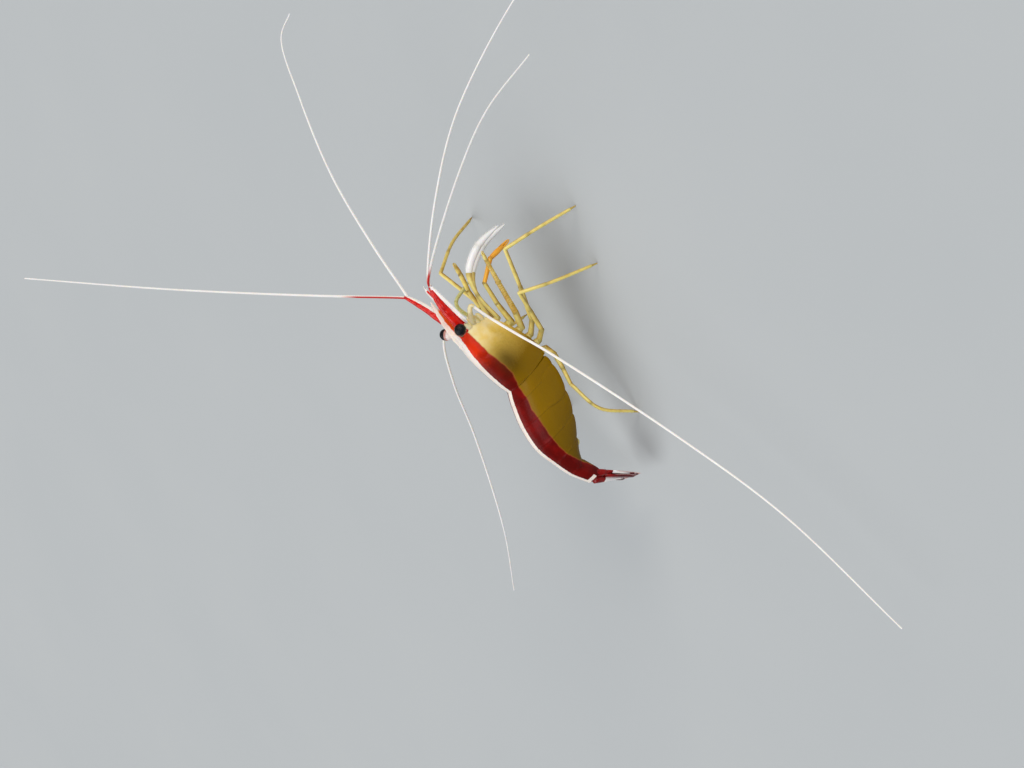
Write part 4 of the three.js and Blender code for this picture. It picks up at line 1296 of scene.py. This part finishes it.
# Walking legs: three segments to the knee, then wrist, hand and a hooked toe that stands on the floor.
walkingLegs = {
    "3_right": ([(7.3, -2.5, 11.9), (9.6, -4.2, 11.2), (16.3, -8, 12.4), (23.8, -12, 14)],
                [(24.4, -15, 8), (24.8, -18, 0)]),
    "3_left": ([(7.3, 2.5, 11.9), (9.6, 4.7, 12), (16.4, 6.4, 13.4), (25, 10, 15.8)],
               [(29, 13, 8.8), (31.6, 16.7, 0)]),
    "4_right": ([(5.6, -2.5, 10.9), (7.3, -4.9, 10.7), (11.6, -6.9, 12.2), (15.5, -10, 14.4)],
                [(14.5, -13, 8.9), (13.6, -15.6, 0)]),
    "4_left": ([(5.6, 2.5, 10.9), (6.4, 5, 11), (7.1, 7.4, 12.2), (8.2, 11, 14.5)],
               [(9.3, 13.4, 8.6), (10, 15, 0)]),
    "5_right": ([(3.9, -2.4, 10.3), (2, -3.3, 9.7), (-1, -3.3, 9.5), (-4.3, -3.7, 9.8)],
                [(-10.7, -4.6, 7.3), (-15.2, -4.8, 0)]),
    "5_left": ([(3.9, 2.4, 10.3), (2, 5, 9.9), (-0.8, 6.6, 11.2), (-4.4, 7.8, 12.4)],
               [(-8, 13, 8.6), (-10, 17, 0)]),
}
legShape = {
    "upper": [0.58, 0.5, 0.42, 0.37], "lower": [0.36, 0.34, 0.32, 0.28],     # radii
    "toe": 1.3, "toeRadii": (0.24, 0.1), "hook": 0.25,                       # lengths and radii
}


def makeWalkingLegs():
    fringes = []
    for name, (upper, lower) in walkingLegs.items():
        upper, lower = np.array(upper, float), np.array(lower, float)
        piece = f"walkingLeg{name[0]}{name[2:].title()}"
        shapes = limbShapes(upper, legShape["upper"], distances(upper))
        shapes.append(coxaShape(upper[0], upper[1], legShape["upper"][0]))
        makePiece(piece + "Upper", shapes, legSkin, [f"walking_leg_{name}_upper"],
                  limbMarks)
        knee, wrist, foot = upper[-1], *lower
        back = unit(wrist - foot)
        toeStart = foot + back * legShape["toe"]
        path = evenRun([knee, wrist, toeStart], 0.4)
        length = distances(path)[-1]
        shapes = limbShapes(path, legShape["lower"], [0, length * 0.36, length], count=12, tip=0.6)
        for _, _, marks in shapes:
            marks["facingUp"] = marks["facingUp"] * 0.9 + 0.4
        toe = np.array([toeStart + back * 0.15, toeStart * 0.6 + foot * 0.4,
                        toeStart * 0.3 + foot * 0.7, foot])
        toe[-1, 2] = 0.1
        toeRun = evenRun(toe, 0.15)
        shapes.append(tubeShape(toeRun, np.linspace(*legShape["toeRadii"], len(toeRun)), 10,
                                domes=(0.6, 0.9), marks={"joint": np.full(len(toeRun), 0.8)}))
        inward = unit((foot - upper[0]) * (1, 1, 0) + (0, 0, 0.02)) * legShape["hook"]
        shapes.append(spineShape(toe[2], toe[-1] - inward + (0, 0, legShape["hook"]), 0.09,
                                 marks={"joint": 0.8}))
        makePiece(piece + "Lower", shapes, legSkin, [f"walking_leg_{name}_lower"],
                  limbMarks)
        spots = alongPath(path, np.linspace(length * 0.42, length * 0.97, 9))
        heading = headings(spots)
        back = unit(np.cross(heading, (0, 1, 0)))
        back = back * -np.sign(back[:, :1])
        fringes.append((spots + back * 0.24, unit(back * 0.7 + heading)))
    growBristles("walkingLegSpines", fringes, legSkin)


makeWalkingLegs()
print("walking legs made")

# Swimmerets: a short stem and two leaf-shaped paddles, folded forwards under the abdomen.
swimmerets = {
    "lengths": [2.4, 3.8, 4, 3.4, 2.6], "width": 1.3, "lean": math.radians(12), "below": 0.9,
    "paddles": [(0.126, 0.72, 9), (-0.03, 0.6192, -5)],     # how far out, share of the length, splay
}


def leafOutline(share):
    half = swimmerets["width"] * 0.42 * np.sin(math.pi * np.clip(share, 0.02, 0.98)) ** 0.6
    return -half, half


def makeSwimmerets():
    for index, length in enumerate(swimmerets["lengths"]):
        t = (index + 0.7) / 6
        behind, here, ahead = smoothRun(abdomen["sections"], (t - 0.005, t, t + 0.005))
        top, low, hollow = here[:2], here[2:4], here[5]
        forward, up = low + (top - low) * hollow
        tilt = math.atan2(behind[3] - ahead[3], behind[2] - ahead[2]) - swimmerets["lean"]
        heading = np.array((math.cos(tilt), 0, math.sin(tilt)))
        upward = np.array((-math.sin(tilt), 0, math.cos(tilt)))
        for side, sign in sides.items():
            turn = np.array((heading, upward, (0, sign, 0)))
            root = np.array((forward, sign * 0.24 * here[4], up - swimmerets["below"]))
            shapes = [tubeShape(fromBody([root + upward * 0.9, root + upward * 0.1 + heading * 0.3,
                                          root + heading * length * 0.34]), [0.42, 0.4, 0.3],
                                marks={"joint": (0.6, 0.3, 0.2)})]
            for out, share, splay in swimmerets["paddles"]:
                grid = bladeGrid(length * share, leafOutline, 0.2, 0.08, [(0, 0.04)], 20, 20)[0]
                grid = spinWith(grid, splay, (length * 0.28, 0, out))
                shapes.append(loftShape(fromBody(root + grid @ turn), {"joint": 0.0}))
            makePiece(f"swimmeret{index + 1}{side.title()}", shapes, paddleSkin,
                      [f"swimmeret_{index + 1}_{side}"], limbMarks)


makeSwimmerets()
print("swimmerets made")

# Mouth and cheeks: small rounded plates that fill the front of the carapace below the eyes, and the
# underside of the thorax, creased between the limbs.
mouth = {
    "plates": [   # centre [forward, out, up], then half sizes
        (12.7, 0.0, -2.9, 1.0, 1.3, 1.2), (12.9, 1.3, -4.2, 1.2, 1.0, 1.2),
        (13.6, 1.85, -4.2, 1.7, 0.6, 1.0), (14.2, 2.3, -3.9, 1.1, 0.5, 0.8),
        (14.3, 2.5, -4.9, 0.9, 0.42, 0.5), (13.2, 1.7, -5.8, 1.5, 0.7, 0.9),
        (12.6, 1.0, -6.0, 1.0, 0.8, 0.9), (12.9, 1.7, -7.0, 1.1, 0.6, 0.6),
        (12.0, 0.55, -7.1, 1.1, 0.5, 0.7), (10.8, 0.9, -7.9, 1.2, 0.6, 0.6)],
    "underside": [   # [forward, half width, top, bottom]
        (-2.2, 0.6, -8.9, -9.8), (-1.6, 1.5, -8.4, -10.7), (-0.5, 1.75, -8.2, -11.0),
        (1.2, 1.85, -8.2, -11.1), (3.2, 1.85, -8.2, -10.95), (5.3, 1.8, -8.0, -10.7),
        (7.6, 1.7, -7.6, -10.2), (9.7, 1.45, -6.9, -9.3), (11.6, 1.2, -6.0, -8.2),
        (12.8, 0.6, -5.5, -7.0)],
    "creases": (-1.5, 0.3, 2.2, 4.3, 6.5, 8.7, 10.7), "creaseDepth": 0.16,
    "rows": 96, "count": 28,
}


def mouthShapes():
    shapes = []
    share = np.linspace(-0.98, 0.98, 18)
    narrow = np.sqrt(1 - share ** 2)
    for forward, out, up, long, wide, tall in mouth["plates"]:
        for sign in ((1, -1) if out else (1,)):
            path = fromBody([(forward + long * s, out * sign, up) for s in share])
            shapes.append(tubeShape(path, np.column_stack((wide * narrow, tall * narrow)), 18, upOfBody,
                                    (0.3, 0.3), {"joint": 0.35 * bell(share, -1, 0.5)}))
    stations = np.array(mouth["underside"])
    forward = np.linspace(stations[0, 0], stations[-1, 0], mouth["rows"])[:, None]
    wide, top, low = (np.interp(forward, stations[:, 0], stations[:, k]) for k in (1, 2, 3))
    crease = sum(bell(forward, at, 0.16) for at in mouth["creases"]) * mouth["creaseDepth"]
    angle = roundAngles(mouth["count"])
    across = (wide - crease) * np.cos(angle)
    up = (top + low) / 2 + ((top - low) / 2 - crease) * np.sin(angle)
    rings = np.stack((np.broadcast_to(forward, up.shape), across, up), -1)
    shapes.append(loftShape(fromBody(rings), {"joint": crease * 3}))
    return shapes


makePiece("mouthPlates", mouthShapes(), creamSkin, (), limbMarks)

# A pale floor under soft, even studio light: a low key, a cool fill and broad light from above.
studio = {
    "floor": "#b4b9bb", "fleck": "#babebf", "halfSize": 4,      # metres
    "world": "#e8eaee", "worldStrength": 0.32,
    "lights": [   # where it comes from, strength, softness in degrees, colour
        ((325, -260, 135), 1.5, 26, "#fff6ea"),
        ((-40, -360, 285), 0.7, 34, "#f4f6ff"),
        ((-120, 110, 420), 1.7, 55, "#ffffff"),
    ],
}


# Floor: smooth cast plaster, painted matt, faintly flecked.
def plasterMaterial():
    material, tree, shader, place = newMaterial("plasterFloor", Roughness=0.85)
    fleck = addNode(tree, "ShaderNodeTexNoise", {"Vector": place, "Scale": perMetre(60), "Detail": 4.0})
    tint = addNode(tree, "ShaderNodeMix", {0: fleck, 6: hexColour(studio["floor"]),
                                           7: hexColour(studio["fleck"])}, 2, data_type="RGBA")
    tree.links.new(tint, shader.inputs["Base Color"])
    return material


def makeStudio():
    scene = bpy.context.scene
    mesh = bpy.data.meshes.new("floor")
    corners = [(x * studio["halfSize"], y * studio["halfSize"], 0)
               for x, y in ((-1, -1), (1, -1), (1, 1), (-1, 1))]
    mesh.from_pydata(corners, [], [(0, 1, 2, 3)])
    mesh.materials.append(plasterMaterial())
    addObject("floor", mesh)
    for number, (origin, strength, softness, colour) in enumerate(studio["lights"]):
        light = bpy.data.lights.new(f"softLight{number}", "SUN")
        light.energy, light.angle, light.color = strength, math.radians(softness), hexColour(colour)[:3]
        lamp = addObject(light.name, light)
        lamp.rotation_euler = (-Vector(origin)).to_track_quat("-Z", "Y").to_euler()
    scene.world = bpy.data.worlds.new("studioWorld")
    scene.world.use_nodes = True
    background = scene.world.node_tree.nodes["Background"]
    background.inputs[0].default_value = hexColour(studio["world"])
    background.inputs[1].default_value = studio["worldStrength"]
    scene.view_settings.view_transform = "Standard"


makeStudio()
print("studio set")
